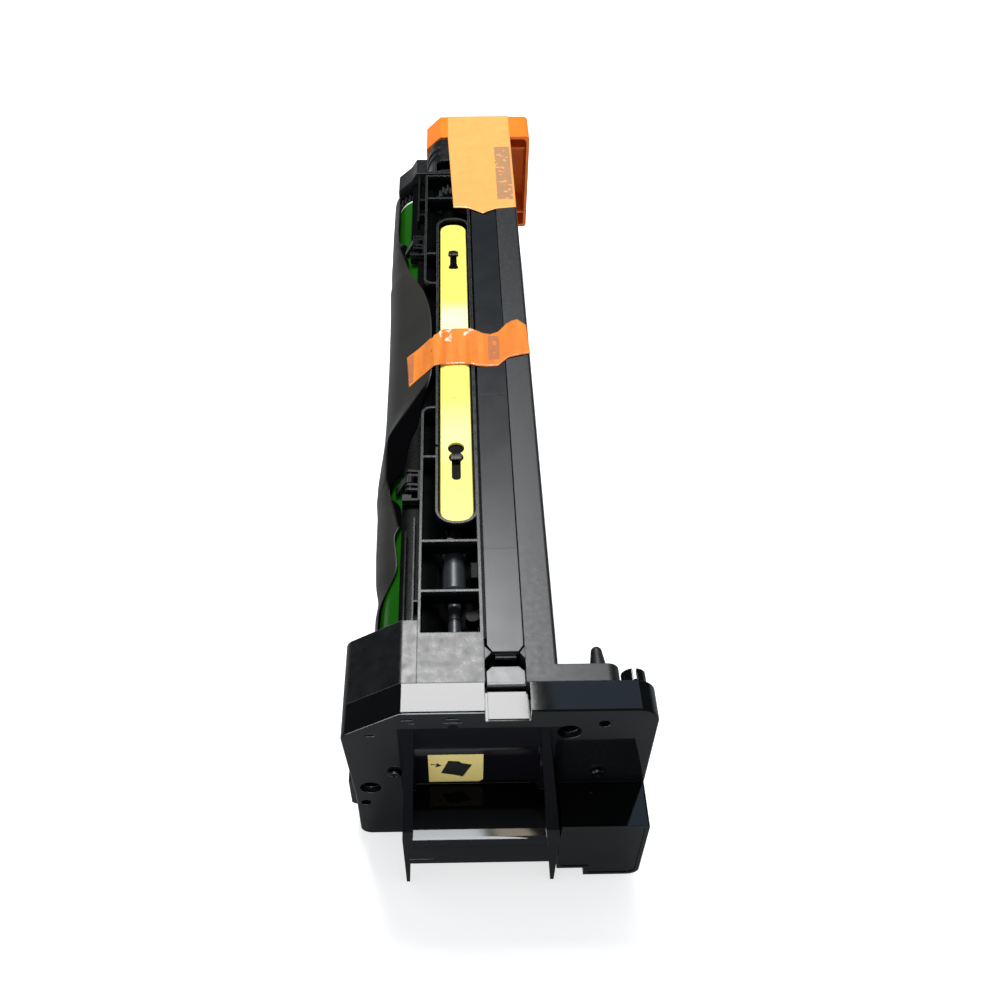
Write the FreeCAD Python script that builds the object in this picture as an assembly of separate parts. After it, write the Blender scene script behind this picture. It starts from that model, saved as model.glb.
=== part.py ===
import FreeCAD, Part
import math
import os

# Photoconductor drum unit of a wide-format office printer, in millimetres.
# The unit lies along Y: the glossy front cover with its handle faces -Y and the
# capped drive end faces +Y. Z is up, and the lowest point of the unit is Z = 0.

V = FreeCAD.Vector

# Overall size and the stations along the unit
unit_length = 490.7
unit_top = 110.0
handle_reach = 20.0
cover_depth = 13.5
front_y = -unit_length / 2
rear_y = unit_length / 2
face_y = front_y + handle_reach
joint_y = face_y + cover_depth
block_depth = 24.0
block_y = joint_y + block_depth
side_block_depth = 30.3
side_block_y = joint_y + side_block_depth
bay_half = 51.3
cavity_end_y = 167.7
hood_end_y = 187.0
cap_depth = 29.2
cap_rim_y = rear_y - cap_depth

# Front outline of the cover and of the frame behind it
left_x = -61.1
right_x = 63.3
outline_bottom = 10.0
chamfer_top_x = -37.3
chamfer_low_z = 94.2
waist_x = -58.4
waist_z = 45.0
top_corner_r = 9.0
low_corner_r = 5.0
plate_t = 2.4
rim_t = 2.2

# Drum
drum_x = -33.3
drum_z = 84.0
drum_r = 15.0
tube_t = 1.0
drum_front_y = -174.0
drum_length = 330.0
drum_rear_y = drum_front_y + drum_length
shaft_r = 4.0
bush_r = 6.5
fit = 0.05

# Gear pair between the drum and the waste screw
module = 1.0
drum_teeth = 30
pinion_teeth = 14
gear_t = 7.0
rim_reach = 2.0
gear_hub_r = 8.0
mesh_angle = 36.2
mesh_slack = 0.06
centre_distance = module * (drum_teeth + pinion_teeth) / 2 + mesh_slack
screw_x = drum_x + centre_distance * math.cos(math.radians(mesh_angle))
screw_z = drum_z + centre_distance * math.sin(math.radians(mesh_angle))

# Waste screw and its tube
screw_r = 4.0
screw_core_r = 1.5
screw_pitch = 29.0
flight_steps = 12
tube_clear = 0.3
tube_wall = 0.9
screw_front_y = -150.0
screw_rear_y = 140.0
tube_front_y = -158.0
tube_rear_y = -131.2
sleeve_r = 2.8

# Upper frame
wall_t = 1.2
wall_l4_x = -30.6
wall_r_x = -5.2
wall_r_t = 1.4
tray_wall_x = -23.6
tray_floor_z = 105.2
tray_floor_t = 1.5
skirt_z = 62.0
rail_x0 = 12.4
rail_x1 = 25.2
rail_t = 1.6
wing_x1 = 49.5
wing_t = 8.0
wing_corner_r = 5.0
cradle_gap = 2.0
cradle_t = 1.6
bin_floor_z = 42.0

# Carry strap
strap_x0 = -21.4
strap_w = 15.0
strap_t = 1.3
strap_front_y = -126.5
strap_rear_y = 113.1
strap_lift = 0.2
tray_margin = 1.0
tray_rear_extra = 2.5
tray_breaks = (-80.0, 91.2)
cell_corner_r = 5.0
hook_front_y = -85.8
hook_rear_y = 82.0

# Duct strip and the slot in front of it
strip_x0 = -2.6
strip_x1 = 12.0
strip_t = 2.0
strip_front_y = -197.4
cap_gap = 0.3
strip_rear_y = cap_rim_y - cap_gap
strip_joints = (-143.4, -42.7, 30.8)
strip_top_z = unit_top - 0.6
duct_floor_z = unit_top - strip_t - 2.4
slot_floor_z = 97.6
slot_x0 = -4.1
slot_x1 = 13.5
catch_top_z = 105.5

# Handle, pocket and lower box on the front cover
pocket_x0 = -32.6
pocket_x1 = 18.4
pocket_top = 98.4
pocket_depth = 3.0
shelf_z = 49.1
lip_r = 13.0
lip_bottom = 21.7
lip_t = 2.2
handle_x0 = -38.2
handle_x1 = 27.0
cover_edge_r = 0.8
box_x0 = 27.2
box_top = 54.3
box_bottom = 8.4
box_step_x = 39.2
box_step_z = 15.3
box_wall = 2.0

# Rear cap
cap_x0 = -30.8
cap_x1 = 38.2
cap_bottom = 41.2
cap_wall = 2.0
cap_edge_r = 1.8

# Charge roller
roller_r = 5.0
roller_core_r = 3.0
roller_gap = 0.3
roller_angle = -80.0
roller_reach = drum_r + roller_r + roller_gap
roller_x = drum_x + roller_reach * math.cos(math.radians(roller_angle))
roller_z = drum_z + roller_reach * math.sin(math.radians(roller_angle))
roller_front_y = -164.0
roller_rear_y = 150.0

# Drive end
rear_wall_y = 170.0
rear_wall_t = 2.5
barrel_r = 14.0
barrel_t = 1.6
barrel_end_y = cap_rim_y + 6.0
nose_y = cap_rim_y - 3.0
nose_r = 10.6
coupling_y = 198.0
journal_r = 3.0

# Film round the open side of the drum
film_t = 0.6
film_turn = 125

# Blade, stripper fingers and screws
blade_tip_angle = 17.0
blade_gap = 0.3
finger_pivot_x = -35.4
finger_pivot_z = 105.2
finger_stations = {"near": -98.2, "far": 97.8}
pin_r = 1.0
cover_screws = [(-41.0, 65.0), (42.5, 63.5)]
screw_shank_r = 1.5

# Holes and moulding marks of the front cover: x, z and radius or width
cover_holes = [(29.0, 94.7, 4.8), (42.2, 100.5, 2.3), (-51.5, 52.2, 4.6), (-54.3, 39.4, 2.2)]
cover_slots = [(-34.3, 105.3, 4.3), (-32.5, 103.0, 1.8), (-16.7, 105.8, 4.0), (-16.7, 103.2, 7.0),
               (-49.2, 94.1, 4.0)]
top_notch_x = -16.6
top_notch_r = 2.4
boss_x = 56.5
boss_z = 97.0
boss_r = 5.0
boss_bore_r = 3.0
boss_slit = 1.5
boss_end_y = -201.0
peg_x = 43.0
peg_z = 96.0
peg_r = 3.6
peg_tip_r = 2.4
peg_straight = 6.6
peg_end_y = -186.6


def box(x0, x1, y0, y1, z0, z1):
    """Block between two corners."""
    return Part.makeBox(x1 - x0, y1 - y0, z1 - z0, V(x0, y0, z0))


def rod(x, z, r, y0, y1):
    """Cylinder along Y."""
    return Part.makeCylinder(r, y1 - y0, V(x, y0, z), V(0, 1, 0))


def pipe(x, z, r_out, r_in, y0, y1):
    """Hollow cylinder along Y."""
    return rod(x, z, r_out, y0, y1).cut(rod(x, z, r_in, y0 - 1, y1 + 1))


def post(x, y, r, z0, z1):
    """Upright cylinder."""
    return Part.makeCylinder(r, z1 - z0, V(x, y, z0), V(0, 0, 1))


def cone(x, z, r0, r1, y0, y1):
    """Cone along Y, r0 at y0 and r1 at y1."""
    return Part.makeCone(r0, r1, y1 - y0, V(x, y0, z), V(0, 1, 0))


def rounded_wire(points, place):
    """Closed wire through (a, b, radius) corners; place(a, b) gives the 3-D point."""
    count = len(points)
    starts, ends, mids = [], [], []
    for i, (a, b, r) in enumerate(points):
        pa, pb = points[i - 1][:2]
        na, nb = points[(i + 1) % count][:2]
        u = V(pa - a, pb - b, 0)
        w = V(na - a, nb - b, 0)
        u.normalize()
        w.normalize()
        if r <= 0:
            starts.append((a, b))
            ends.append((a, b))
            mids.append(None)
            continue
        half = u.getAngle(w) / 2
        cut = r / math.tan(half)
        bis = u + w
        bis.normalize()
        reach = r / math.sin(half)
        centre = V(a, b, 0) + bis * reach
        mid = centre - bis * r
        starts.append((a + u.x * cut, b + u.y * cut))
        ends.append((a + w.x * cut, b + w.y * cut))
        mids.append((mid.x, mid.y))
    edges = []
    for i in range(count):
        if mids[i]:
            arc = Part.Arc(place(*starts[i]), place(*mids[i]), place(*ends[i]))
            edges.append(arc.toShape())
        following = starts[(i + 1) % count]
        if math.dist(ends[i], following) > 1e-6:
            edges.append(Part.LineSegment(place(*ends[i]), place(*following)).toShape())
    return Part.Wire(edges)


def prism_y(points, y0, y1):
    """Outline in X and Z, run along Y."""
    wire = rounded_wire(points, lambda a, b: V(a, y0, b))
    return Part.Face(wire).extrude(V(0, y1 - y0, 0))


def prism_x(points, x0, x1):
    """Outline in Y and Z, run along X."""
    wire = rounded_wire(points, lambda a, b: V(x0, a, b))
    return Part.Face(wire).extrude(V(x1 - x0, 0, 0))


def prism_z(points, z0, z1):
    """Outline in X and Y, run along Z."""
    wire = rounded_wire(points, lambda a, b: V(a, b, z0))
    return Part.Face(wire).extrude(V(0, 0, z1 - z0))


def sector(x, z, r_in, r_out, deg0, deg1, y0, y1):
    """Part of a pipe between two angles, counted from +X towards +Z."""
    def at(r, deg):
        turn = math.radians(deg)
        return V(x + r * math.cos(turn), y0, z + r * math.sin(turn))
    middle = (deg0 + deg1) / 2
    edges = [
        Part.Arc(at(r_in, deg0), at(r_in, middle), at(r_in, deg1)).toShape(),
        Part.LineSegment(at(r_in, deg1), at(r_out, deg1)).toShape(),
        Part.Arc(at(r_out, deg1), at(r_out, middle), at(r_out, deg0)).toShape(),
        Part.LineSegment(at(r_out, deg0), at(r_in, deg0)).toShape(),
    ]
    return Part.Face(Part.Wire(edges)).extrude(V(0, y1 - y0, 0))


def fused(shapes):
    """One clean solid from overlapping shapes."""
    return shapes[0].multiFuse(shapes[1:]).removeSplitter()


def gear(x, z, teeth, phase_deg, y0, y1):
    """Spur gear with involute flanks, one tooth centred on phase_deg."""
    pitch_r = module * teeth / 2
    base_r = pitch_r * math.cos(math.radians(20))
    tip_r = pitch_r + 0.85 * module
    root_r = pitch_r - 1.15 * module
    half_tooth = math.pi / (2 * teeth) - 0.09 * module / pitch_r

    def involute(r):
        ratio = min(1.0, base_r / r)
        angle = math.acos(ratio)
        return math.tan(angle) - angle
    at_pitch = involute(pitch_r)
    low_r = max(root_r, base_r)
    points = []
    for k in range(teeth):
        middle = math.radians(phase_deg) + 2 * math.pi * k / teeth
        radii = [low_r + (tip_r - low_r) * s / 3 for s in range(4)]
        side = [(r, half_tooth + at_pitch - involute(r)) for r in radii]
        foot = half_tooth + at_pitch - involute(low_r)
        flank = [(root_r, foot)] + [p for p in side if p[0] > root_r + 1e-6]
        for r, a in flank:
            points.append((x + r * math.cos(middle - a), z + r * math.sin(middle - a), 0))
        for r, a in reversed(flank):
            points.append((x + r * math.cos(middle + a), z + r * math.sin(middle + a), 0))
    return prism_y(points, y0, y1)


def outline(inset=0.0):
    """Front outline of the cover, drawn inwards by inset."""
    fall = math.atan2(unit_top - chamfer_low_z, chamfer_top_x - left_x)
    top_shift = inset * math.tan(fall / 2)
    side_drop = inset * math.tan((math.pi / 2 - fall) / 2)
    top = unit_top - inset
    return [
        (chamfer_top_x + top_shift, top, 4.0),
        (left_x + inset, chamfer_low_z - side_drop, 6.0),
        (waist_x + inset, waist_z, 0),
        (waist_x + inset, outline_bottom + inset, low_corner_r),
        (right_x - inset, outline_bottom + inset, low_corner_r),
        (right_x - inset, top, max(1.0, top_corner_r - inset)),
    ]


def strap_outline(grow, rear_extra=0.0):
    """Plan of the carry strap, grown by a margin."""
    r = 6.5 + grow
    x0 = strap_x0 - grow
    x1 = strap_x0 + strap_w + grow
    y0 = strap_front_y - grow
    y1 = strap_rear_y + grow + rear_extra
    return [(x0, y0, r), (x1, y0, r), (x1, y1, r), (x0, y1, r)]


strap_mid_x = strap_x0 + strap_w / 2
strap_z0 = tray_floor_z + tray_floor_t + strap_lift
cradle_r = drum_r + cradle_gap
trough_r = screw_r + tube_clear


def make_main_frame():
    """Open-celled upper frame: ribs, strap tray, drum cradle and front block."""
    y_near, y_far = block_y, cavity_end_y
    parts = []
    # Wall beside the duct and the floor of the duct
    parts.append(box(wall_r_x, wall_r_x + wall_r_t, joint_y, rear_wall_y, skirt_z, unit_top))
    parts.append(box(wall_r_x, rail_x0, y_near, rear_wall_y, duct_floor_z - 1.6, duct_floor_z))
    parts.append(box(wall_r_x, rail_x0, joint_y, y_near, slot_floor_z - 1.6, slot_floor_z))
    face_x = wall_r_x + wall_r_t
    parts.append(prism_z([(face_x - 0.3, -201.2, 0), (face_x + 2.9, -197.6, 0), (face_x - 0.3, -194.2, 0)],
                         slot_floor_z - 0.5, unit_top - 0.4))
    # Curved shield over the drum, cut back beside the film and at the fingers
    cradle = sector(drum_x, drum_z, cradle_r, cradle_r + cradle_t, 52, 108, side_block_y, rear_wall_y)
    cradle = cradle.cut(box(-60, -34.6, -54.0, 84.0, 90, 105))
    for y in finger_stations.values():
        cradle = cradle.cut(box(-60, finger_pivot_x - 0.8, y - 3.0, y + 3.0, 90, 105))
    parts.append(cradle)
    # Outer cell wall with its round corners, front and rear
    foot_z = drum_z + cradle_r
    inner_x = tray_wall_x + wall_t
    for toward, y0, y1 in ((1, y_near, -bay_half), (-1, bay_half, y_far)):
        turn_y, end_y = (y1, y0) if toward > 0 else (y0, y1)
        solids = []
        for inset, r in ((0.0, cell_corner_r), (wall_t, cell_corner_r - wall_t)):
            corner_y = turn_y - toward * inset
            far_y = end_y - toward * inset
            loop = [(wall_l4_x + inset, far_y, 0), (wall_l4_x + inset, corner_y, r),
                    (inner_x + inset, corner_y, 0), (inner_x + inset, far_y, 0)]
            solids.append(prism_z(loop, foot_z - 2.0 - inset, unit_top + inset))
        parts.append(solids[0].cut(solids[1]))
    # Strap tray: floor and wall
    tray = prism_z(strap_outline(tray_margin + wall_t, tray_rear_extra), tray_floor_z, unit_top)
    tray_room = strap_outline(tray_margin, tray_rear_extra)
    tray = tray.cut(prism_z(tray_room, tray_floor_z + tray_floor_t, unit_top + 1))
    for y in tray_breaks:
        tray = tray.cut(box(tray_wall_x - 2, tray_wall_x + 3, y, y + 1.6, tray_floor_z + 2, unit_top + 1))
    parts.append(tray)
    # Cross ribs
    rib_low = 101.4
    for y in (-167.0, -139.4, 140.0, y_far - wall_t):
        parts.append(box(wall_l4_x, wall_r_x + 0.5, y, y + wall_t, rib_low, unit_top))
    for y in (-87.0, 80.4):
        parts.append(box(wall_l4_x, tray_wall_x + 0.5, y, y + wall_t, foot_z - 2.0, unit_top))
    # Thin ribs over the drum
    parts.append(box(-33.4, -32.5, side_block_y, -123.2, foot_z, unit_top - 2))
    parts.append(box(-37.2, -36.3, side_block_y, -129.2, foot_z - 1.2, unit_top - 4))
    parts.append(box(-33.4, wall_l4_x + 0.2, -170.6, -169.6, foot_z, unit_top - 2))
    parts.append(box(-35.2, -34.3, 118.0, rear_wall_y, foot_z, unit_top - 2))
    for y in (124.6, 141.2):
        parts.append(box(-35.2, wall_l4_x + 0.2, y, y + 1.0, foot_z, unit_top - 2))
    # Long trough over the waste screw, open towards the drum and the blade
    parts.append(sector(screw_x, screw_z, trough_r, trough_r + 1.2, -60, 170, -124.0, 144.0))
    parts.append(box(screw_x + trough_r, wall_r_x + 0.3, -124.0, 144.0, screw_z - 1.5, screw_z))
    parts.append(box(-24.6, screw_x - trough_r + 0.6, -124.0, 144.0, screw_z + 0.6, screw_z + 2.0))
    # Bosses and blocks seen in the open cells
    parts.append(box(-8.2, wall_r_x + 0.3, -155.4, -147.0, 96.0, 104.5))
    parts.append(post(-7.9, -173.4, 3.1, 96.0, 101.6))
    parts.append(box(-8.4, wall_r_x + 0.3, -175.4, -171.4, 96.0, 99.0))
    parts.append(post(-15.8, 148.6, 2.0, 99.0, 104.0).cut(post(-15.8, 148.6, 0.9, 99.5, 106)))
    parts.append(box(-17.4, wall_r_x + 0.3, 147.6, 149.6, 99.0, 101.4))
    # Front block
    block = box(wall_l4_x, wall_r_x + wall_r_t, joint_y, y_near, skirt_z, unit_top)
    room = box(wall_l4_x + wall_t, wall_r_x, joint_y + 2.0, y_near - 2.0, skirt_z - 1, unit_top - 2.4)
    parts.append(block.cut(room))
    frame = fused(parts)
    # Way for the drum, the screw and the gears
    frame = frame.cut(rod(drum_x, drum_z, cradle_r, joint_y - 1, rear_wall_y + 1))
    frame = frame.cut(rod(screw_x, screw_z, sleeve_r, joint_y + 3, block_y + 1))
    frame = frame.cut(rod(screw_x, screw_z, trough_r + tube_wall, tube_front_y, tube_rear_y))
    frame = frame.cut(rod(screw_x, screw_z, trough_r, tube_rear_y, 155.0))
    frame = frame.cut(rod(screw_x, screw_z, 8.6, 155.0, cavity_end_y - wall_t))
    frame = frame.cut(rod(screw_x, screw_z, journal_r + 0.3, cavity_end_y - 3, rear_wall_y + 1))
    # Hooks that hold the strap
    for y, head_w in ((hook_front_y, 5.0), (hook_rear_y, 5.2)):
        top_z = strap_z0 + strap_t
        stem = box(strap_mid_x - 1.4, strap_mid_x + 1.4, y - 1.6, y + 1.6, tray_floor_z + 0.5, top_z + 0.5)
        head = prism_x([(y - 1.9, top_z + 0.3, 0), (y + 1.9, top_z + 0.3, 0),
                        (y + 1.9, top_z + 1.2, 0.5), (y - 1.9, top_z + 1.2, 0.5)],
                       strap_mid_x - head_w / 2, strap_mid_x + head_w / 2)
        frame = fused([frame, stem, head])
    return frame


def make_front_end_frame():
    """Left part of the front block, with the wall that carries the drum."""
    y0, y1 = joint_y, side_block_y
    keep = box(-100, wall_l4_x, y0 - 1, y1 + 1, -10, 200)
    skin = prism_y(outline(), y0, y1).cut(prism_y(outline(rim_t), y0 + 2.0, y1 - 2.5))
    shell = skin.common(keep)
    side = box(wall_l4_x - wall_t, wall_l4_x, y0, y1, outline_bottom, unit_top - 3)
    tab = prism_y([(waist_x + 1, 36.5, 0), (-right_x, 33.0, 0), (-right_x, 13.0, 2.5), (waist_x + 1, 8.6, 3.0)],
                  y0, y0 + 6.0)
    frame = fused([shell, side, tab])
    frame = frame.cut(rod(drum_x, drum_z, 8.0, y0 - 1, y1 - 2.5))
    return frame.cut(rod(drum_x, drum_z, bush_r, y1 - 3.5, y1 + 1))


def make_rear_end_frame():
    """Rear wall with its hood, the gear space, the drive barrel and two feet."""
    y0, y1 = rear_wall_y, hood_end_y
    wall = prism_y([(-48.5, 66, 4), (-48.5, 97.4, 2), (-40.2, 104.4, 0), (-36.6, unit_top, 0),
                    (wall_r_x + wall_r_t, unit_top, 0), (wall_r_x + wall_r_t, duct_floor_z, 0),
                    (rail_x0, duct_floor_z, 0), (rail_x0, bin_floor_z + 22, 0),
                    (-24, 50, 3), (-36, 50, 4)], y0, y0 + rear_wall_t)
    hood = prism_y([(-48.5, 74, 0), (-48.5, 97.4, 2), (-40.2, 104.4, 0), (-36.6, unit_top, 0),
                    (wall_l4_x + 1, unit_top, 0), (wall_l4_x + 1, unit_top - 2, 0),
                    (-36.0, unit_top - 2, 0), (-39.0, 102.8, 0), (-46.7, 96.4, 0), (-46.7, 74, 0)],
                   y0, y1)
    end_plate = prism_y([(-48.5, 74, 0), (-48.5, 97.4, 2), (-40.2, 104.4, 0), (-36.6, unit_top, 0),
                         (wall_l4_x, unit_top, 0), (wall_l4_x, 74, 0)], y1 - 2, y1)
    barrel = rod(screw_x, screw_z, barrel_r, y0, nose_y)
    nose = rod(screw_x, screw_z, nose_r, nose_y - 0.5, barrel_end_y)
    hollow = fused([rod(screw_x, screw_z, barrel_r - barrel_t, y0 + rear_wall_t, nose_y - barrel_t),
                    rod(screw_x, screw_z, nose_r - barrel_t, nose_y - barrel_t - 0.5, barrel_end_y + 1)])
    collars = [pipe(screw_x, screw_z, barrel_r + 0.7, barrel_r - 0.5, y, y + 2.0) for y in (194.0, 202.0)]
    shelf = box(wall_r_x + wall_r_t + 0.5, rail_x0, y0 + 1, strip_rear_y, duct_floor_z - 1.6, duct_floor_z)
    shell = fused([wall, hood, end_plate, barrel, nose, shelf] + collars)
    shell = shell.common(box(-100, 100, y0 - 1, barrel_end_y + 1, -10, unit_top))
    shell = shell.cut(hollow)
    window = box(screw_x - 9.0, screw_x + 9.0, y0 + rear_wall_t + 1.5, y1 - 1.0, screw_z + 4, unit_top + 1)
    shell = shell.cut(window)
    rib = box(-25.2, -24.0, y0 + rear_wall_t - 0.5, y1 + 0.5, screw_z + 4, unit_top - 2)
    shell = fused([shell, rib.cut(rod(screw_x, screw_z, barrel_r - barrel_t, y0, y1 + 1))])
    # Feet under the wall, braced to its rear
    for x in (-44.0, 0.0):
        leg = prism_y([(x, 0, 1.5), (x + 10, 0, 1.5), (x + 8.5, 70, 0), (x + 1.5, 70, 0)], y0, y0 + rear_wall_t)
        brace = prism_x([(y0 + 1, 66, 0), (y0 + 1, 0, 0), (y0 + 9, 0, 2), (y0 + 13, 66, 0)], x + 4, x + 6)
        shell = fused([shell, leg, brace])
    shell = shell.cut(rod(drum_x, drum_z, bush_r, y0 - 1, y0 + rear_wall_t + 1))
    return shell.cut(rod(screw_x, screw_z, journal_r + fit, y0 - 1, y0 + rear_wall_t + 1))


def make_waste_duct():
    """Long closed rail on the right, with the wing behind the front cover."""
    y1 = cap_rim_y - cap_gap
    rail = prism_y([(rail_x0, skirt_z, 0), (rail_x1, skirt_z, 0), (rail_x1, unit_top, 1.6),
                    (rail_x0, unit_top, 0)], joint_y, y1)
    inner = box(rail_x0 + rail_t, rail_x1 - rail_t, joint_y + 2, y1 - 2, skirt_z - 1, unit_top - rail_t)
    spigot = box(rail_x0 + 1, rail_x1 - 1, y1 - 1, barrel_end_y, skirt_z + 2, unit_top - cap_wall - cap_gap)
    nose = prism_z([(rail_x0 + 0.3, -201.4, 0), (rail_x0 - 2.0, -197.9, 0), (rail_x0 + 0.3, -194.5, 0)],
                   slot_floor_z, unit_top - 0.4)
    wing = prism_y([(rail_x1 - 2, 52, 0), (wing_x1, 52, 3), (wing_x1, unit_top, wing_corner_r),
                    (rail_x1 - 2, unit_top, 0)], joint_y, joint_y + wing_t)
    hollow = prism_y([(rail_x1, 54, 0), (wing_x1 - 2, 54, 2), (wing_x1 - 2, unit_top - 2.2, wing_corner_r - 2),
                      (rail_x1, unit_top - 2.2, 0)], joint_y - 1, joint_y + wing_t - 2)
    wing_y = joint_y + wing_t
    shoulder_y = wing_y + peg_straight
    peg = rod(peg_x, peg_z, peg_r, wing_y - 1, shoulder_y)
    taper = cone(peg_x, peg_z, peg_r, peg_tip_r, shoulder_y, peg_end_y - peg_tip_r)
    tip = Part.makeSphere(peg_tip_r, V(peg_x, peg_end_y - peg_tip_r, peg_z))
    return fused([rail.cut(inner), spigot, nose, wing.cut(hollow), peg, taper, tip])


def make_waste_bin():
    """Open-topped toner bin hung under the rail and the duct."""
    x0, x1 = wall_r_x, rail_x1
    y0, y1 = block_y, rear_wall_y
    tub = prism_y([(x0, bin_floor_z, 4), (x1, bin_floor_z, 4), (x1, skirt_z, 0), (x0, skirt_z, 0)], y0, y1)
    room = prism_y([(x0 + 1.6, bin_floor_z + 1.6, 3), (x1 - 1.6, bin_floor_z + 1.6, 3),
                    (x1 - 1.6, skirt_z + 1, 0), (x0 + 1.6, skirt_z + 1, 0)], y0 + 1.6, y1 - 1.6)
    return tub.cut(room)


def make_charger_housing():
    """Trough round the charge roller, between the two end frames."""
    r = roller_r + 1.6
    trough = sector(roller_x, roller_z, r, r + 1.5, 195, 350, side_block_y, rear_wall_y)
    foot = box(roller_x - 3, roller_x + 3, side_block_y, rear_wall_y, roller_z - r - 2.6, roller_z - r - 1.0)
    return fused([trough, foot])


def make_front_cover():
    """Glossy end cover with pocket, handle, lower box and the split boss."""
    body = prism_y(outline(), face_y, joint_y)
    front_loop = [e for e in body.Edges if e.BoundBox.YMax < face_y + 0.01]
    body = body.makeFillet(cover_edge_r, front_loop)
    shell = body.cut(prism_y(outline(rim_t), face_y + plate_t, joint_y + 1))
    back = face_y + pocket_depth + plate_t
    pan = box(pocket_x0 - rim_t, pocket_x1 + rim_t, face_y + 1, back, shelf_z - lip_t, pocket_top + rim_t)
    # Lower box that stands out in front of the plate
    box_points = [(box_x0, box_step_z, 0), (box_step_x, box_step_z, 0), (box_step_x, box_bottom, 0),
                  (right_x - 0.2, box_bottom, 5), (right_x - 0.2, box_top, 1.0), (box_x0, box_top, 0)]
    bay = prism_y(box_points, front_y, face_y + 1)
    room_x0, room_step_x, room_x1 = box_x0 + box_wall, box_step_x + box_wall, right_x - 0.2 - box_wall
    room_low, room_top = box_bottom + box_wall + 2, box_top - box_wall
    inner_points = [(room_x0, box_step_z + box_wall, 0), (room_step_x, box_step_z + box_wall, 0),
                    (room_step_x, room_low, 0), (room_x1, room_low, 3), (room_x1, room_top, 0),
                    (room_x0, room_top, 0)]
    bay_room = prism_y(inner_points, front_y + 2.6, face_y + plate_t + 1)
    # Handle: rolled shelf between two tapering side walls
    shelf = prism_x([(face_y + 2, shelf_z, 0), (front_y, shelf_z, lip_r), (front_y, lip_bottom, 0.8),
                     (front_y + lip_t, lip_bottom, 0), (front_y + lip_t, shelf_z - lip_t, lip_r - lip_t),
                     (face_y + 2, shelf_z - lip_t, 0)], handle_x0 + 0.4, handle_x1 - 0.4)
    side = prism_x([(face_y + 1, pocket_top + 0.6, 0), (face_y, pocket_top + 0.2, 0),
                    (front_y, 45.0, 6), (front_y, 4, 1.0), (front_y + 2.4, 0, 0.6), (front_y + 7, 8, 2),
                    (face_y + 1, lip_bottom, 0)], handle_x0 - 1, handle_x1 + 1)
    left_front = prism_y([(handle_x0 + 2.7, pocket_top + 1, 0), (handle_x0 + 6.4, pocket_top + 1, 0),
                          (handle_x0 + 4.3, 45.0, 0), (handle_x0 + 2.4, lip_bottom, 0),
                          (handle_x0 + 1.4, -1, 0), (handle_x0 + 0.2, -1, 0), (handle_x0, 45.0, 0)],
                         front_y - 1, face_y + 2)
    right_front = prism_y([(handle_x1 - 6.2, pocket_top + 1, 0), (handle_x1 - 9.6, pocket_top + 1, 0),
                           (handle_x1 - 5.5, 45.0, 0), (handle_x1 - 3.5, lip_bottom, 0),
                           (handle_x1 - 1.5, -1, 0), (handle_x1 - 0.4, -1, 0), (handle_x1, 45.0, 0)],
                          front_y - 1, face_y + 2)
    walls = [side.common(left_front), side.common(right_front)]
    boss = pipe(boss_x, boss_z, boss_r, boss_bore_r, face_y + 1, boss_end_y)
    slit_x0 = boss_x - boss_slit / 2
    boss = boss.cut(box(slit_x0, slit_x0 + boss_slit, joint_y, boss_end_y + 1, boss_z - 7, boss_z + 7))
    posts = [rod(x, z, 3.2, face_y + 1, joint_y - 0.5) for x, z in cover_screws]
    cover = fused([shell, pan, bay, boss] + posts)
    cover = cover.cut(bay_room)
    opening = prism_y([(pocket_x0, shelf_z, 0), (pocket_x1, shelf_z, 0), (pocket_x1, pocket_top, 3),
                       (pocket_x0, pocket_top, 5)], face_y - 1, face_y + pocket_depth)
    cover = cover.cut(opening)
    cover = cover.cut(rod(top_notch_x, pocket_top + 0.4, top_notch_r, face_y - 1, face_y + plate_t))
    cover = fused([cover, shelf] + walls)
    cover = cover.cut(panel_prism(0.0, front_y - 1))
    # Slot for the latch panel
    cover = cover.cut(box(slot_x0, slot_x1, face_y - 1, joint_y + 1, unit_top - 6.6, unit_top + 1))
    seat = box(slot_x0 - 1.5, slot_x1 + 1.5, face_y, joint_y - 0.6, unit_top - 8.6, unit_top - 6.6)
    cover = fused([cover, seat])
    for x, z, r in cover_holes:
        cover = cover.cut(cone(x, z, r, r * 0.8, face_y - 0.01, face_y + plate_t + 0.2))
        ring = pipe(x, z, r + 1.0, r * 0.8, face_y + plate_t - 0.1, joint_y - 0.5)
        cover = fused([cover, ring.common(prism_y(outline(0.6), face_y, joint_y))])
    for x, z, w in cover_slots:
        cover = cover.cut(box(x - w / 2, x + w / 2, face_y - 1, face_y + 1.2, z - 0.5, z + 0.5))
    cover = cover.cut(box(handle_x0 + 2.2, handle_x0 + 12.0, front_y - 1, front_y + 0.9, 26.5, 27.5))
    for x, z in cover_screws:
        cover = cover.cut(rod(x, z, screw_shank_r + fit, face_y - 1, joint_y))
    return cover


def panel_prism(clear, y0):
    """Panel outline on the front of the lower box, made smaller by clear."""
    e = 1.7 + clear
    right = right_x - 0.2 - e
    return prism_y([(box_x0 + e, box_step_z + e, 0), (box_step_x + e, box_step_z + e, 0),
                    (box_step_x + e, box_bottom + e, 0), (right, box_bottom + e, 3.5),
                    (right, box_top - e, 0), (box_x0 + e, box_top - e, 0)], y0, front_y + 1.0)


def make_box_panel():
    """Panel set into the front of the lower box."""
    return panel_prism(0.15, front_y + 0.3)


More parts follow.
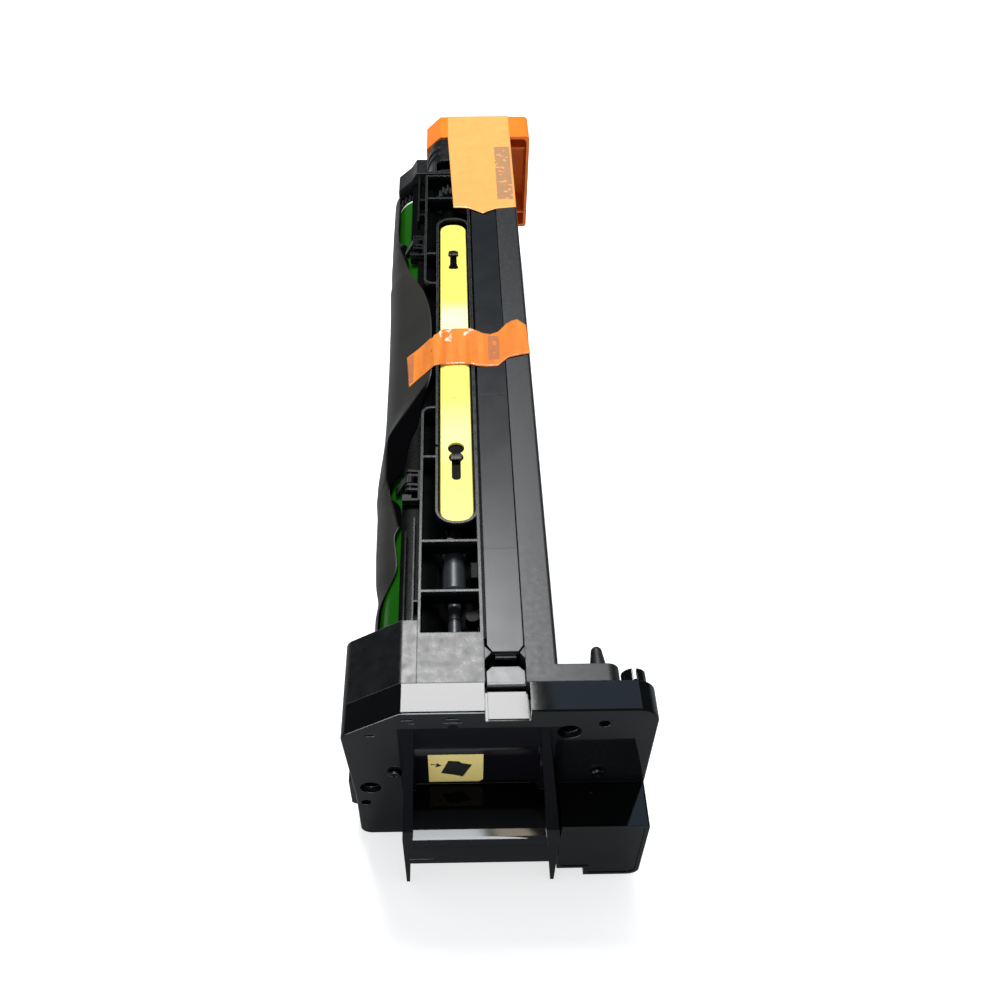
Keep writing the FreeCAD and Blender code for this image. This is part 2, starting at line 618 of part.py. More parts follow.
def make_latch_panel():
    """Small plate in the slot of the front cover, bent down at its front edge."""
    x0, x1 = slot_x0 + 1.1, slot_x1 - 0.7
    z1 = catch_top_z
    return prism_x([(face_y - 0.8, z1, 0.6), (joint_y - 1.6, z1, 0), (joint_y - 1.6, z1 - 2.1, 0),
                    (face_y, z1 - 2.1, 0), (face_y, z1 - 5.0, 0), (face_y - 0.8, z1 - 5.0, 0.3)], x0, x1)


def make_slide_catch():
    """Sliding tongue behind the latch panel, with a guide block under it."""
    x0, x1 = strip_x0 - 0.4, strip_x1 + 0.2
    y0, y1 = joint_y + 1.0, joint_y + 10.1
    z1 = catch_top_z
    tongue = prism_z([(x0, y0, 0.4), (x1, y0, 0.4), (x1, y1 - 2.2, 0), (x1 - 2.2, y1, 0),
                      (x0 + 2.2, y1, 0), (x0, y1 - 2.2, 0)], z1 - 2.2, z1)
    guide = box(x0 + 3.5, x1 - 3.5, y0 + 0.5, y1 - 1.5, slot_floor_z + fit, z1 - 2.0)
    step = box(x0 + 0.3, x1 - 0.3, y0 + 0.4, y0 + 1.6, z1 - 0.2, z1 + 0.5)
    return fused([tongue, guide, step])


def make_duct_strip():
    """Cover strip of the duct: overlapping lengths with a tapered front end."""
    z0 = duct_floor_z
    y_neck = strip_front_y + 3.1
    first, second, third = strip_joints
    end = [(strip_x0, y_neck, 0), (strip_x0 + 2.1, strip_front_y, 0), (strip_x1 - 2.0, strip_front_y, 0),
           (strip_x1, y_neck, 0)]
    base = prism_z(end + [(strip_x1, strip_rear_y, 0), (strip_x0, strip_rear_y, 0)], z0 + 2.0, strip_top_z)
    rib_y0, rib_y1 = y_neck + 4, rear_wall_y - 2
    ribs = [box(x, x + 1.2, rib_y0, rib_y1, z0, z0 + 2.2) for x in (strip_x0 + 1, strip_x1 - 2.2)]
    front = prism_z(end + [(strip_x1, first, 0), (strip_x0, first, 0)], strip_top_z - 0.1, strip_top_z + 0.4)
    middle = box(strip_x0, strip_x1, second, third, strip_top_z - 0.1, strip_top_z + 0.3)
    tail = box(strip_x0 + 3.2, strip_x1 - 3.0, strip_front_y - 1.6, strip_front_y + 1, z0 + 0.6, z0 + 2.2)
    return fused([base, front, middle, tail] + ribs)


def make_carry_strap():
    """Flat flexible handle with a keyhole at the front and a slot at the rear."""
    x = strap_mid_x
    strap = prism_z(strap_outline(0), strap_z0, strap_z0 + strap_t)
    top = [e for e in strap.Edges if abs(e.BoundBox.ZMin - (strap_z0 + strap_t)) < 1e-6
           and abs(e.BoundBox.ZMax - (strap_z0 + strap_t)) < 1e-6]
    strap = strap.makeChamfer(0.3, top)
    z0, z1 = strap_z0 - 1, strap_z0 + strap_t + 1
    tail = [(x - 2.1, -100.4, 1.9), (x + 2.1, -100.4, 1.9), (x + 2.1, -84, 0), (x - 2.1, -84, 0)]
    keyhole = [post(x, -79.4, 3.9, z0, z1), post(x, hook_front_y + 0.2, 3.5, z0, z1), prism_z(tail, z0, z1)]
    wide = [(x - 2.9, 79.4, 1.2), (x + 2.9, 79.4, 1.2), (x + 2.9, 86.0, 2.6), (x - 2.9, 86.0, 2.6)]
    neck = [(x - 1.9, 70, 0), (x + 1.9, 70, 0), (x + 1.9, 81, 0), (x - 1.9, 81, 0)]
    foot = [(x - 3.3, 67.4, 1.5), (x + 3.3, 67.4, 1.5), (x + 1.9, 72.4, 0), (x - 1.9, 72.4, 0)]
    rear = [prism_z(points, z0, z1) for points in (wide, neck, foot)]
    strap = strap.cut(fused(keyhole)).cut(fused(rear))
    for y in (-44.0, 39.8):
        strap = strap.cut(post(x, y, 1.3, strap_z0 + strap_t - 0.15, z1))
    return strap


def make_end_cap():
    """Orange shipping cap over the drive end, open to the front."""
    def skin(inset):
        return [(cap_x0 + inset, cap_bottom + inset, 2), (cap_x1 - inset, cap_bottom + inset, 2),
                (cap_x1 - inset, unit_top - inset, 3), (cap_x0 + 9.4 + inset * 0.4, unit_top - inset, 0),
                (cap_x0 + inset, unit_top - 8.6 - inset * 0.4, 0)]
    body = prism_y(skin(0), cap_rim_y, rear_y)
    body = body.makeFillet(cap_edge_r, [e for e in body.Edges if e.BoundBox.YMin > rear_y - 0.01])
    cap = body.cut(prism_y(skin(cap_wall), cap_rim_y - 1, rear_y - cap_wall))
    shelf_rib = box(rail_x1 + 0.4, cap_x1 - 1, cap_rim_y + 8, rear_y - 1, 96.4, 98.0)
    low_rib = box(rail_x1 + 0.4, cap_x1 - 1, cap_rim_y + 3, rear_y - 1, 50.4, 52.0)
    stop = box(rail_x0 + 2, rail_x1 - 2, barrel_end_y, rear_y - 1, 84, 86)
    return fused([cap, shelf_rib, low_rib, stop])


def make_wide_tape():
    """Broad strip of tape from the cap onto the rail and the strip."""
    z0 = unit_top + 0.1
    return prism_z([(-16.4, rear_y - 1, 0), (-16.5, cap_rim_y, 0), (-13.4, 129.0, 0), (-4.3, 128.3, 0),
                    (4.2, 122.4, 0), (12.5, 127.4, 0), (24.8, 129.0, 0), (24.9, rear_y - 1, 0)], z0, z0 + 0.25)


def make_narrow_tape():
    """Narrow strip of tape across the strap, its left end on the film."""
    z0 = unit_top + 0.1
    return prism_z([(-38.6, -14.7, 0), (-24.5, 6.1, 0), (-6.4, 9.6, 0), (3.9, 5.6, 0), (17.2, 17.1, 0),
                    (25.0, 13.0, 0), (25.1, -11.5, 0), (13.3, -14.0, 0), (9.5, -19.6, 0), (-6.3, -17.7, 0),
                    (-24.6, -19.8, 0), (-37.2, -37.2, 0)], z0, z0 + 0.25)


def make_light_shield():
    """Black film wrapped round the open side of the drum, with a rising flap."""
    r0 = drum_r + 1.8
    r1 = r0 + film_t
    y0, y1 = side_block_y + 4, rear_wall_y - 1.5

    def on_wrap(r, deg):
        turn = math.radians(deg)
        return (drum_x + r * math.cos(turn), drum_z + r * math.sin(turn), 0)
    low_deg = 213
    wrap = sector(drum_x, drum_z, r0, r1, film_turn, low_deg, y0, y1)
    edge_x = roller_x - 8.1
    skirt = prism_y([on_wrap(r0, low_deg), on_wrap(r1, low_deg), (edge_x - film_t, 61.6, 0),
                     (edge_x, 62.0, 0)], y0, y1)
    rise = math.radians(film_turn - 90)
    reach = 22.0

    def past(r):
        x, z, _ = on_wrap(r, film_turn)
        return (x + reach * math.cos(rise), z + reach * math.sin(rise), 0)
    flap = prism_y([on_wrap(r0, film_turn), on_wrap(r1, film_turn), past(r1), past(r0)], y0, y1)
    plan = prism_z([(-70, 168, 0), (-47.5, 168, 0), (-47.4, 126, 0), (-45.3, 92, 0), (-37.2, 70, 0),
                    (-30.4, 49.5, 0), (-27.4, 32, 0), (-26.2, 18, 0), (-26.2, -10, 0), (-27.3, -18, 0),
                    (-45.4, -62, 0), (-47.3, -69, 0), (-48.4, -86, 0), (-46.3, -99, 0), (-43.9, -115, 0),
                    (-40.6, -143, 0), (-40.2, -151, 0), (-43.7, -159, 0), (-47.5, -170.5, 0), (-48.5, y0 - 1, 0),
                    (-70, y0 - 1, 0)], 40, unit_top + 0.05)
    return fused([wrap, flap, skirt]).common(plan)


def make_auger_tube():
    """Stepped tube round the waste screw in the front cells."""
    big = trough_r + tube_wall
    neck_y = tube_front_y - 4.0
    body = rod(screw_x, screw_z, big, tube_front_y, tube_rear_y)
    neck = cone(screw_x, screw_z, sleeve_r, big, neck_y, tube_front_y)
    sleeve = rod(screw_x, screw_z, sleeve_r, block_y - 2.0, neck_y)
    tube = fused([body, neck, sleeve])
    tube = tube.cut(rod(screw_x, screw_z, trough_r, tube_front_y + 1.0, tube_rear_y + 1))
    tube = tube.cut(rod(screw_x, screw_z, screw_core_r + fit, block_y - 3, tube_front_y + 2))
    groove = pipe(screw_x, screw_z, sleeve_r + 0.4, sleeve_r - 0.3, -174.4, -173.4)
    boss_y = tube_rear_y - 2.6
    boss = post(screw_x - 1.5, boss_y, 2.1, screw_z + trough_r + 0.3, screw_z + big + 1.4)
    hole = post(screw_x - 1.5, boss_y, 0.9, screw_z + big - 0.2, screw_z + big + 2)
    return fused([tube.cut(groove), boss]).cut(hole)


def make_auger_screw():
    """Waste screw: round core with a helical flight made of flat facets."""
    y0, y1 = screw_front_y, screw_rear_y
    steps = int((y1 - y0) / screw_pitch) * flight_steps
    rings = []
    for k in range(steps + 1):
        turn = 2 * math.pi * k / flight_steps
        y = y0 + (y1 - y0) * k / steps
        ring = []
        for r, side in ((screw_core_r - 0.6, -0.6), (screw_r, -0.6), (screw_r, 0.6), (screw_core_r - 0.6, 0.6)):
            ring.append(V(screw_x + r * math.cos(turn), y + side, screw_z + r * math.sin(turn)))
        rings.append(ring)
    faces = [Part.Face(Part.makePolygon(rings[0] + [rings[0][0]])),
             Part.Face(Part.makePolygon(rings[-1] + [rings[-1][0]]))]
    for first, second in zip(rings, rings[1:]):
        for i in range(4):
            a, b = first[i], first[(i + 1) % 4]
            c, d = second[(i + 1) % 4], second[i]
            faces.append(Part.Face(Part.makePolygon([a, b, c, a])))
            faces.append(Part.Face(Part.makePolygon([a, c, d, a])))
    flight = Part.makeSolid(Part.makeShell(faces))
    core = rod(screw_x, screw_z, screw_core_r, block_y + 0.3, drum_rear_y + 2.0)
    return core.fuse(flight)


def make_auger_pinion():
    """Pinion on the waste screw, with the journal that crosses the rear wall."""
    wheel_y = drum_rear_y + 2.0
    phase = mesh_angle + 180 + 180 / pinion_teeth
    wheel = gear(screw_x, screw_z, pinion_teeth, phase, wheel_y, wheel_y + gear_t)
    return fused([wheel, rod(screw_x, screw_z, journal_r, wheel_y + 0.5, coupling_y + 14)])


def make_drive_coupling():
    """Coupling disc with three lugs inside the barrel."""
    r = barrel_r - barrel_t - 0.9
    y = coupling_y
    parts = [rod(screw_x, screw_z, r, y, y + 5), rod(screw_x, screw_z, r - 3.0, y + 4, y + 8)]
    for k in range(3):
        turn = math.radians(90 + 120 * k)
        x = screw_x + 5.6 * math.cos(turn)
        z = screw_z + 5.6 * math.sin(turn)
        parts.append(rod(x, z, 1.8, y + 7, y + 13))
    return fused(parts).cut(rod(screw_x, screw_z, journal_r, y - 1, y + 15))


def make_drum_tube():
    """Aluminium drum tube."""
    return pipe(drum_x, drum_z, drum_r, drum_r - tube_t, drum_front_y, drum_rear_y)


def make_drum_front_flange():
    """Plug in the front end of the tube."""
    plug = rod(drum_x, drum_z, drum_r - tube_t, drum_front_y, drum_front_y + 10)
    rim = rod(drum_x, drum_z, drum_r - 0.2, drum_front_y - 2, drum_front_y)
    return fused([plug, rim]).cut(rod(drum_x, drum_z, shaft_r, drum_front_y - 3, drum_front_y + 11))


def make_drum_rear_flange():
    """Plug in the rear end of the tube, with the hub that carries the gear."""
    y = drum_rear_y
    plug = rod(drum_x, drum_z, drum_r - tube_t, y - 10, y)
    rim = rod(drum_x, drum_z, drum_r - 0.2, y, y + rim_reach)
    hub = rod(drum_x, drum_z, gear_hub_r, y + rim_reach - 0.5, y + rim_reach + gear_t)
    return fused([plug, rim, hub]).cut(rod(drum_x, drum_z, shaft_r, y - 11, y + 12))


def make_drum_gear():
    """Gear on the hub of the rear flange."""
    y = drum_rear_y + rim_reach
    wheel = gear(drum_x, drum_z, drum_teeth, mesh_angle, y, y + gear_t)
    return wheel.cut(rod(drum_x, drum_z, gear_hub_r, y - 1, y + gear_t + 1))


def make_drum_shaft():
    """Steel shaft through both flanges."""
    y0, y1 = side_block_y - 6.0, rear_wall_y + 8.0
    shaft = rod(drum_x, drum_z, shaft_r, y0, y1)
    ends = [e for e in shaft.Edges if e.BoundBox.YLength < 1e-6]
    return shaft.makeChamfer(0.6, ends)


def make_drum_bearings():
    """Flanged bushes of the drum shaft in both end walls."""
    front_wall = side_block_y
    front = fused([pipe(drum_x, drum_z, 6.5, shaft_r + fit, front_wall - 3.4, front_wall + 1.0),
                   pipe(drum_x, drum_z, 7.6, shaft_r + fit, front_wall, front_wall + 1.0)])
    rear = fused([pipe(drum_x, drum_z, 6.5, shaft_r + fit, rear_wall_y - 1.0, rear_wall_y + 3.4),
                  pipe(drum_x, drum_z, 7.6, shaft_r + fit, rear_wall_y - 1.0, rear_wall_y)])
    return Part.makeCompound([front, rear])


def make_charge_roller():
    """Rubber sleeve of the charge roller."""
    return pipe(roller_x, roller_z, roller_r, roller_core_r, roller_front_y, roller_rear_y)


def make_charge_core():
    """Steel core of the charge roller."""
    core = rod(roller_x, roller_z, roller_core_r, roller_front_y - 10, roller_rear_y + 10)
    ends = [e for e in core.Edges if e.BoundBox.YLength < 1e-6]
    return core.makeChamfer(0.5, ends)


def make_roller_holders():
    """Two bearing blocks of the charge roller."""
    blocks = []
    for y0, y1 in ((roller_front_y - 9, roller_front_y - 3), (roller_rear_y + 2, roller_rear_y + 7.5)):
        block = box(roller_x - 4.2, roller_x + 4.2, y0, y1, roller_z - 4.4, roller_z + 3.8)
        blocks.append(block.cut(rod(roller_x, roller_z, roller_core_r + fit, y0 - 1, y1 + 1)))
    return Part.makeCompound(blocks)


def make_holder_springs():
    """Coil springs that press the holders towards the drum."""
    springs = []
    for y in (roller_front_y - 6, roller_rear_y + 4.7):
        z0 = roller_z - 6.28
        z1 = roller_z - 4.4
        springs.append(post(roller_x, y, 2.0, z0, z1).cut(post(roller_x, y, 1.4, z0 - 1, z1 + 1)))
    return Part.makeCompound(springs)


def blade_frame():
    """Tip of the blade and the direction in which it runs back."""
    turn = math.radians(blade_tip_angle)
    reach = drum_r + blade_gap
    tip = V(drum_x + reach * math.cos(turn), 0, drum_z + reach * math.sin(turn))
    along = V(math.cos(math.radians(-48)), 0, math.sin(math.radians(-48)))
    across = V(-along.z, 0, along.x)
    return tip, along, across


def make_cleaning_blade():
    """Urethane blade that scrapes the drum."""
    tip, along, across = blade_frame()
    a = tip
    b = tip + along * 11
    c = b + across * 1.8
    d = tip + across * 1.8
    points = [(p.x, p.z, 0) for p in (a, b, c, d)]
    return prism_y(points, -160.0, 152.0)


def make_blade_bracket():
    """Bent steel bracket of the blade, screwed to the duct wall."""
    tip, along, across = blade_frame()
    a = tip + along * 4 + across * 1.8
    b = tip + along * 13 + across * 1.8
    t = 1.2
    points = [(a.x, a.z, 0), (b.x, b.z, 0), (wall_r_x, b.z, 0), (wall_r_x, b.z + 9, 0),
              (wall_r_x - t, b.z + 9, 0), (wall_r_x - t, b.z + t, 0), (b.x + t * 0.5, b.z + t, 0),
              (a.x + across.x * t, a.z + across.z * t, 0)]
    return prism_y(points, -164.0, 156.0)


def make_earth_contact():
    """Spring strip from the front wall to the end of the drum shaft."""
    wall_y = side_block_y - 2.5
    tip_y = side_block_y - 6.0 - fit
    t = 0.5
    points = [(-57.0, wall_y, 0), (-57.0, wall_y - t, 0), (-49.0, wall_y - t, 0), (-45.8, tip_y - t, 0),
              (-31.4 - wall_t, tip_y - t, 0), (-31.4 - wall_t, tip_y, 0), (-45.5, tip_y, 0), (-48.6, wall_y, 0)]
    return prism_z(points, drum_z - 2, drum_z + 2)


def make_finger(y):
    """Stripper finger: tip just over the drum, eye on its pin."""
    x, z = finger_pivot_x, finger_pivot_z
    tip_turn = math.radians(124)
    reach = drum_r + 0.5
    tx = drum_x + reach * math.cos(tip_turn)
    tz = drum_z + reach * math.sin(tip_turn)
    arm = prism_y([(tx, tz, 0), (x - 1.0, z - 2.2, 0), (x + 1.4, z - 1.2, 0), (x + 1.4, z + 1.6, 1.0),
                   (x - 2.0, z + 2.0, 0.8), (tx - 0.7, tz + 1.2, 0)], y - 2, y + 2)
    eye = rod(x, z, 2.0, y - 2, y + 2)
    return fused([arm, eye]).cut(rod(x, z, pin_r + fit, y - 3, y + 3))


def make_finger_brackets():
    """Holders of the stripper fingers on the outer cell wall."""
    x, z = finger_pivot_x, finger_pivot_z
    holders = []
    for y in finger_stations.values():
        back = box(wall_l4_x - 1.2, wall_l4_x, y - 12.8, y + 6.4, 103.2, unit_top - 3.6)
        parts = [back]
        for y0 in (y - 6.6, y - 3.6, y + 2.4, y + 5.2):
            ear = [(x - 2.2, z - 1.9, 0.6), (wall_l4_x - 1.0, z - 1.9, 0), (wall_l4_x - 1.0, z + 1.2, 0),
                   (x - 2.2, z + 1.6, 1.2)]
            parts.append(prism_y(ear, y0, y0 + 1.2))
        parts.append(box(x - 3.6, wall_l4_x - 1.0, y - 12.8, y - 11.6, z - 1.9, z + 1.0))
        parts.append(box(x - 3.6, x + 0.6, y - 11.8, y - 7.6, z - 1.9, z - 0.6))
        holder = fused(parts)
        holders.append(holder.cut(rod(x, z, pin_r + fit, y - 7, y + 7)))
    return Part.makeCompound(holders)


def make_finger_pins():
    """Steel pins of the stripper fingers."""
    x, z = finger_pivot_x, finger_pivot_z
    return Part.makeCompound([rod(x, z, pin_r, y - 7.0, y + 7.0) for y in finger_stations.values()])


def make_front_screws():
    """Pan-head screws in the front cover."""
    screws = []
    y = face_y
    for x, z in cover_screws:
        head = fused([rod(x, z, 2.9, y - 1.0, y), cone(x, z, 2.2, 2.9, y - 1.7, y - 1.0)])
        cross = [box(x - 1.5, x + 1.5, y - 2, y - 1.0, z - 0.3, z + 0.3),
                 box(x - 0.3, x + 0.3, y - 2, y - 1.0, z - 1.5, z + 1.5)]
        shank = rod(x, z, screw_shank_r, y - 0.1, y + 10)
        screws.append(fused([head, shank]).cut(fused(cross)))
    return Part.makeCompound(screws)


makers = {
    "main_frame": make_main_frame,
    "front_end_frame": make_front_end_frame,
    "rear_end_frame": make_rear_end_frame,
    "waste_duct": make_waste_duct,
    "waste_bin": make_waste_bin,
    "charger_housing": make_charger_housing,
    "front_cover": make_front_cover,
    "box_panel": make_box_panel,
    "latch_panel": make_latch_panel,
    "slide_catch": make_slide_catch,
    "duct_strip": make_duct_strip,
    "carry_strap": make_carry_strap,
    "end_cap": make_end_cap,
    "wide_tape": make_wide_tape,
    "narrow_tape": make_narrow_tape,
    "light_shield": make_light_shield,
    "auger_tube": make_auger_tube,
    "auger_screw": make_auger_screw,
    "auger_pinion": make_auger_pinion,
    "drive_coupling": make_drive_coupling,
    "drum_tube": make_drum_tube,
    "drum_front_flange": make_drum_front_flange,
    "drum_rear_flange": make_drum_rear_flange,
    "drum_gear": make_drum_gear,
    "drum_shaft": make_drum_shaft,
    "drum_bearings": make_drum_bearings,
    "charge_roller": make_charge_roller,
    "charge_core": make_charge_core,
    "roller_holders": make_roller_holders,
    "holder_springs": make_holder_springs,
    "cleaning_blade": make_cleaning_blade,
    "blade_bracket": make_blade_bracket,
    "earth_contact": make_earth_contact,
    "finger_near": lambda: make_finger(finger_stations["near"]),
    "finger_far": lambda: make_finger(finger_stations["far"]),
    "finger_brackets": make_finger_brackets,
    "finger_pins": make_finger_pins,
    "front_screws": make_front_screws,
}

os.makedirs("parts", exist_ok=True)
for name, make in makers.items():
    shape = make()
    print(name, "valid" if shape.isValid() else "NOT VALID", len(shape.Solids), round(shape.Volume, 1))
    shape.exportStep("parts/" + name + ".step")
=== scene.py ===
"""Looks of the printer drum unit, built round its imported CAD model, in metres."""
import math

import bpy
from mathutils import Matrix, Vector


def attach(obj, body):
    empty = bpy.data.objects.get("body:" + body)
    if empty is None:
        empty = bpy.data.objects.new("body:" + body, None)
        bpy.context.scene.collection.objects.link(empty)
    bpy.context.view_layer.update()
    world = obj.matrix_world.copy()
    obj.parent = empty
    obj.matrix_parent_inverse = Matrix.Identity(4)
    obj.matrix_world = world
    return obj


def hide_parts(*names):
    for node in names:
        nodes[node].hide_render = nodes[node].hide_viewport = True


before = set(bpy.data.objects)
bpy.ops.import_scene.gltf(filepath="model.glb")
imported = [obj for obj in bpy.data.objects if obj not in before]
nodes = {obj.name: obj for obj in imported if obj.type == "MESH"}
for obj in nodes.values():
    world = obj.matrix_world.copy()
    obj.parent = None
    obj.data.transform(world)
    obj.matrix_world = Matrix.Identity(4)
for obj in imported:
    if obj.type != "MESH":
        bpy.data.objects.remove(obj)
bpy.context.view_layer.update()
scene = bpy.context.scene
MM = 0.001

# Camera at the photograph's viewing angle
CAMERA_AT = Vector((-14.5, -438.4, 456.7)) * MM
LOOK = Vector((0.01197, 0.6822, -0.7311)).normalized()
LENS_MM = 37.8
SENSOR_MM = 36.0
SHIFT_X = 0.032


def make_camera():
    """The photograph's camera, looking down along the unit."""
    data = bpy.data.cameras.new("camera")
    data.lens = LENS_MM
    data.sensor_width = SENSOR_MM
    data.shift_x = SHIFT_X
    data.clip_start = 0.02
    camera = bpy.data.objects.new("camera", data)
    right = LOOK.cross(Vector((0, 0, 1))).normalized()
    up = right.cross(LOOK)
    turn = Matrix((right, up, -LOOK)).transposed().to_4x4()
    camera.matrix_world = Matrix.Translation(CAMERA_AT) @ turn
    scene.collection.objects.link(camera)
    scene.camera = camera


make_camera()

# Colour sockets of a Mix node
MIX_FIRST, MIX_SECOND, MIX_RESULT = 6, 7, 2


class Nodes:
    """Short helper for building a node tree."""

    def __init__(self, name):
        self.material = bpy.data.materials.new(name)
        self.material.use_nodes = True
        self.tree = self.material.node_tree
        self.tree.nodes.clear()
        self.output = self.add("ShaderNodeOutputMaterial")
        self.place = self.add("ShaderNodeTexCoord").outputs["Object"]

    def add(self, kind, **values):
        node = self.tree.nodes.new(kind)
        for key, value in values.items():
            setattr(node, key, value)
        return node

    def link(self, source, target):
        self.tree.links.new(source, target)

    def noise(self, size_mm, detail=3.0, rough=0.55, stretch=(1, 1, 1)):
        """Noise whose features are about size_mm across."""
        mapping = self.add("ShaderNodeMapping")
        mapping.inputs["Scale"].default_value = stretch
        self.link(self.place, mapping.inputs["Vector"])
        node = self.add("ShaderNodeTexNoise")
        node.inputs["Scale"].default_value = 1.0 / (size_mm * MM)
        node.inputs["Detail"].default_value = detail
        node.inputs["Roughness"].default_value = rough
        self.link(mapping.outputs["Vector"], node.inputs["Vector"])
        return node.outputs["Fac"]

    def spread(self, value, low_in, high_in, low, high):
        """Value mapped from one range to another and clamped."""
        node = self.add("ShaderNodeMapRange")
        for socket, number in zip(("From Min", "From Max", "To Min", "To Max"), (low_in, high_in, low, high)):
            node.inputs[socket].default_value = number
        self.link(value, node.inputs["Value"])
        return node.outputs["Result"]

    def mix(self, factor, first, second):
        """Colour mix; first and second are colours or sockets."""
        node = self.add("ShaderNodeMix", data_type="RGBA")
        self.link(factor, node.inputs["Factor"])
        for index, value in ((MIX_FIRST, first), (MIX_SECOND, second)):
            if isinstance(value, (tuple, list)):
                node.inputs[index].default_value = value
            else:
                self.link(value, node.inputs[index])
        return node.outputs[MIX_RESULT]

    def math(self, operation, first, second):
        node = self.add("ShaderNodeMath", operation=operation)
        for socket, value in zip(node.inputs, (first, second)):
            if isinstance(value, (int, float)):
                socket.default_value = value
            else:
                self.link(value, socket)
        return node.outputs[0]

    def axis(self, index):
        """One coordinate of the shaded point in metres."""
        split = self.add("ShaderNodeSeparateXYZ")
        self.link(self.place, split.inputs[0])
        return split.outputs[index]

    def bump(self, height, distance, strength, normal=None):
        """Normal tilted by the slope of a height."""
        node = self.add("ShaderNodeBump")
        node.inputs["Distance"].default_value = distance
        node.inputs["Strength"].default_value = strength
        self.link(height, node.inputs["Height"])
        if normal:
            self.link(normal, node.inputs["Normal"])
        return node.outputs["Normal"]


def srgb(r, g, b):
    """Linear colour from 0-255 values."""
    def linear(v):
        v /= 255.0
        return v / 12.92 if v <= 0.04045 else ((v + 0.055) / 1.055) ** 2.4
    return (linear(r), linear(g), linear(b), 1.0)


def moulded(name, colour, rough, rough_spread=0.08, mottle_mm=3.0, tint=0.15, grain_mm=0.5, grain=0.02,
            wave_mm=40.0, wave=0.0, edge_mm=0.35, painted_edge_highlight=None, edge_heights=None, specular=0.5, coat=0.0,
            metallic=0.0, bows=(), shade=None, shade_gloss=0.05):
    """Moulded plastic or metal with mottling, grain, soft edges and a painted highlight along its edges.

    edge_heights: the two heights in mm between which the painted highlight of the edges grows to full.
    bows: gentle slopes along Y, each as its first and last y and its rise in mm.
    shade: a mask function and the colour that the mask brings in, with shade_gloss as its specular level.
    """
    n = Nodes(name)
    shader = n.add("ShaderNodeBsdfPrincipled")
    n.link(shader.outputs[0], n.output.inputs["Surface"])
    shader.inputs["Specular IOR Level"].default_value = specular
    shader.inputs["Metallic"].default_value = metallic
    shader.inputs["Coat Weight"].default_value = coat
    shader.inputs["Coat Roughness"].default_value = 0.05
    mottle = n.noise(mottle_mm, 4.0, 0.6)
    dark = tuple(c * (1 - tint) for c in colour[:3]) + (1.0,)
    light = tuple(min(1.0, c * (1 + tint)) for c in colour[:3]) + (1.0,)
    base = n.mix(n.spread(mottle, 0.3, 0.7, 0.0, 1.0), dark, light)
    normal = None
    if edge_mm:
        bevel = n.add("ShaderNodeBevel", samples=4)
        bevel.inputs["Radius"].default_value = edge_mm * MM
        normal = bevel.outputs["Normal"]
        # Painted highlight: where the bevel's normal turns from the face's, the edge takes a lighter colour,
        # fuller towards the top.
        if painted_edge_highlight:
            geometry = n.add("ShaderNodeNewGeometry")
            dot = n.add("ShaderNodeVectorMath", operation="DOT_PRODUCT")
            n.link(normal, dot.inputs[0])
            n.link(geometry.outputs["Normal"], dot.inputs[1])
            highlight_share = n.spread(dot.outputs["Value"], 0.80, 0.99, 1.0, 0.0)
            if edge_heights:
                low, high = edge_heights
                highlight_share = n.math("MULTIPLY", highlight_share, n.spread(n.axis(2), low * MM, high * MM, 0.12, 1.0))
            broken = n.spread(n.noise(6.0, 3.0), 0.25, 0.6, 0.45, 1.0)
            base = n.mix(n.math("MULTIPLY", highlight_share, broken), base, painted_edge_highlight)
    if wave:
        normal = n.bump(n.noise(wave_mm, 1.0), wave_mm * MM * 0.02, wave, normal)
    for first_y, last_y, rise in bows:
        ramp = n.add("ShaderNodeMapRange", interpolation_type="SMOOTHSTEP")
        for socket, number in zip(("From Min", "From Max", "To Min", "To Max"),
                                  (first_y * MM, last_y * MM, 0.0, rise * MM)):
            ramp.inputs[socket].default_value = number
        n.link(n.axis(1), ramp.inputs["Value"])
        normal = n.bump(ramp.outputs["Result"], 1.0, 1.0, normal)
    normal = n.bump(n.noise(grain_mm, 2.0), grain_mm * MM, grain, normal)
    if shade:
        mask, tone = shade
        share = mask(n)
        base = n.mix(share, base, tone)
        n.link(n.spread(share, 0.0, 1.0, specular, shade_gloss), shader.inputs["Specular IOR Level"])
    n.link(base, shader.inputs["Base Color"])
    n.link(normal, shader.inputs["Normal"])
    n.link(n.spread(mottle, 0.25, 0.75, max(0.02, rough - rough_spread), rough + rough_spread),
           shader.inputs["Roughness"])
    return n.material


def deep_mask(n):
    """1 down in the cells of the frame, 0 on its top faces; it stands in for deep shadow."""
    return n.spread(n.axis(2), 107.0 * MM, 109.2 * MM, 1.0, 0.0)


def pocket_mask(n):
    """1 on the shelf and the pocket's walls above it, 0 elsewhere; it stands in for deep shadow."""
    x, z = n.axis(0), n.axis(2)
    inside = n.math("MULTIPLY", n.spread(x, -38.6 * MM, -38.3 * MM, 0.0, 1.0),
                    n.spread(x, 27.1 * MM, 27.4 * MM, 1.0, 0.0))
    inside = n.math("MULTIPLY", inside, n.spread(z, 48.85 * MM, 49.05 * MM, 0.0, 1.0))
    return n.math("MULTIPLY", inside, n.spread(z, 98.6 * MM, 99.2 * MM, 1.0, 0.0))
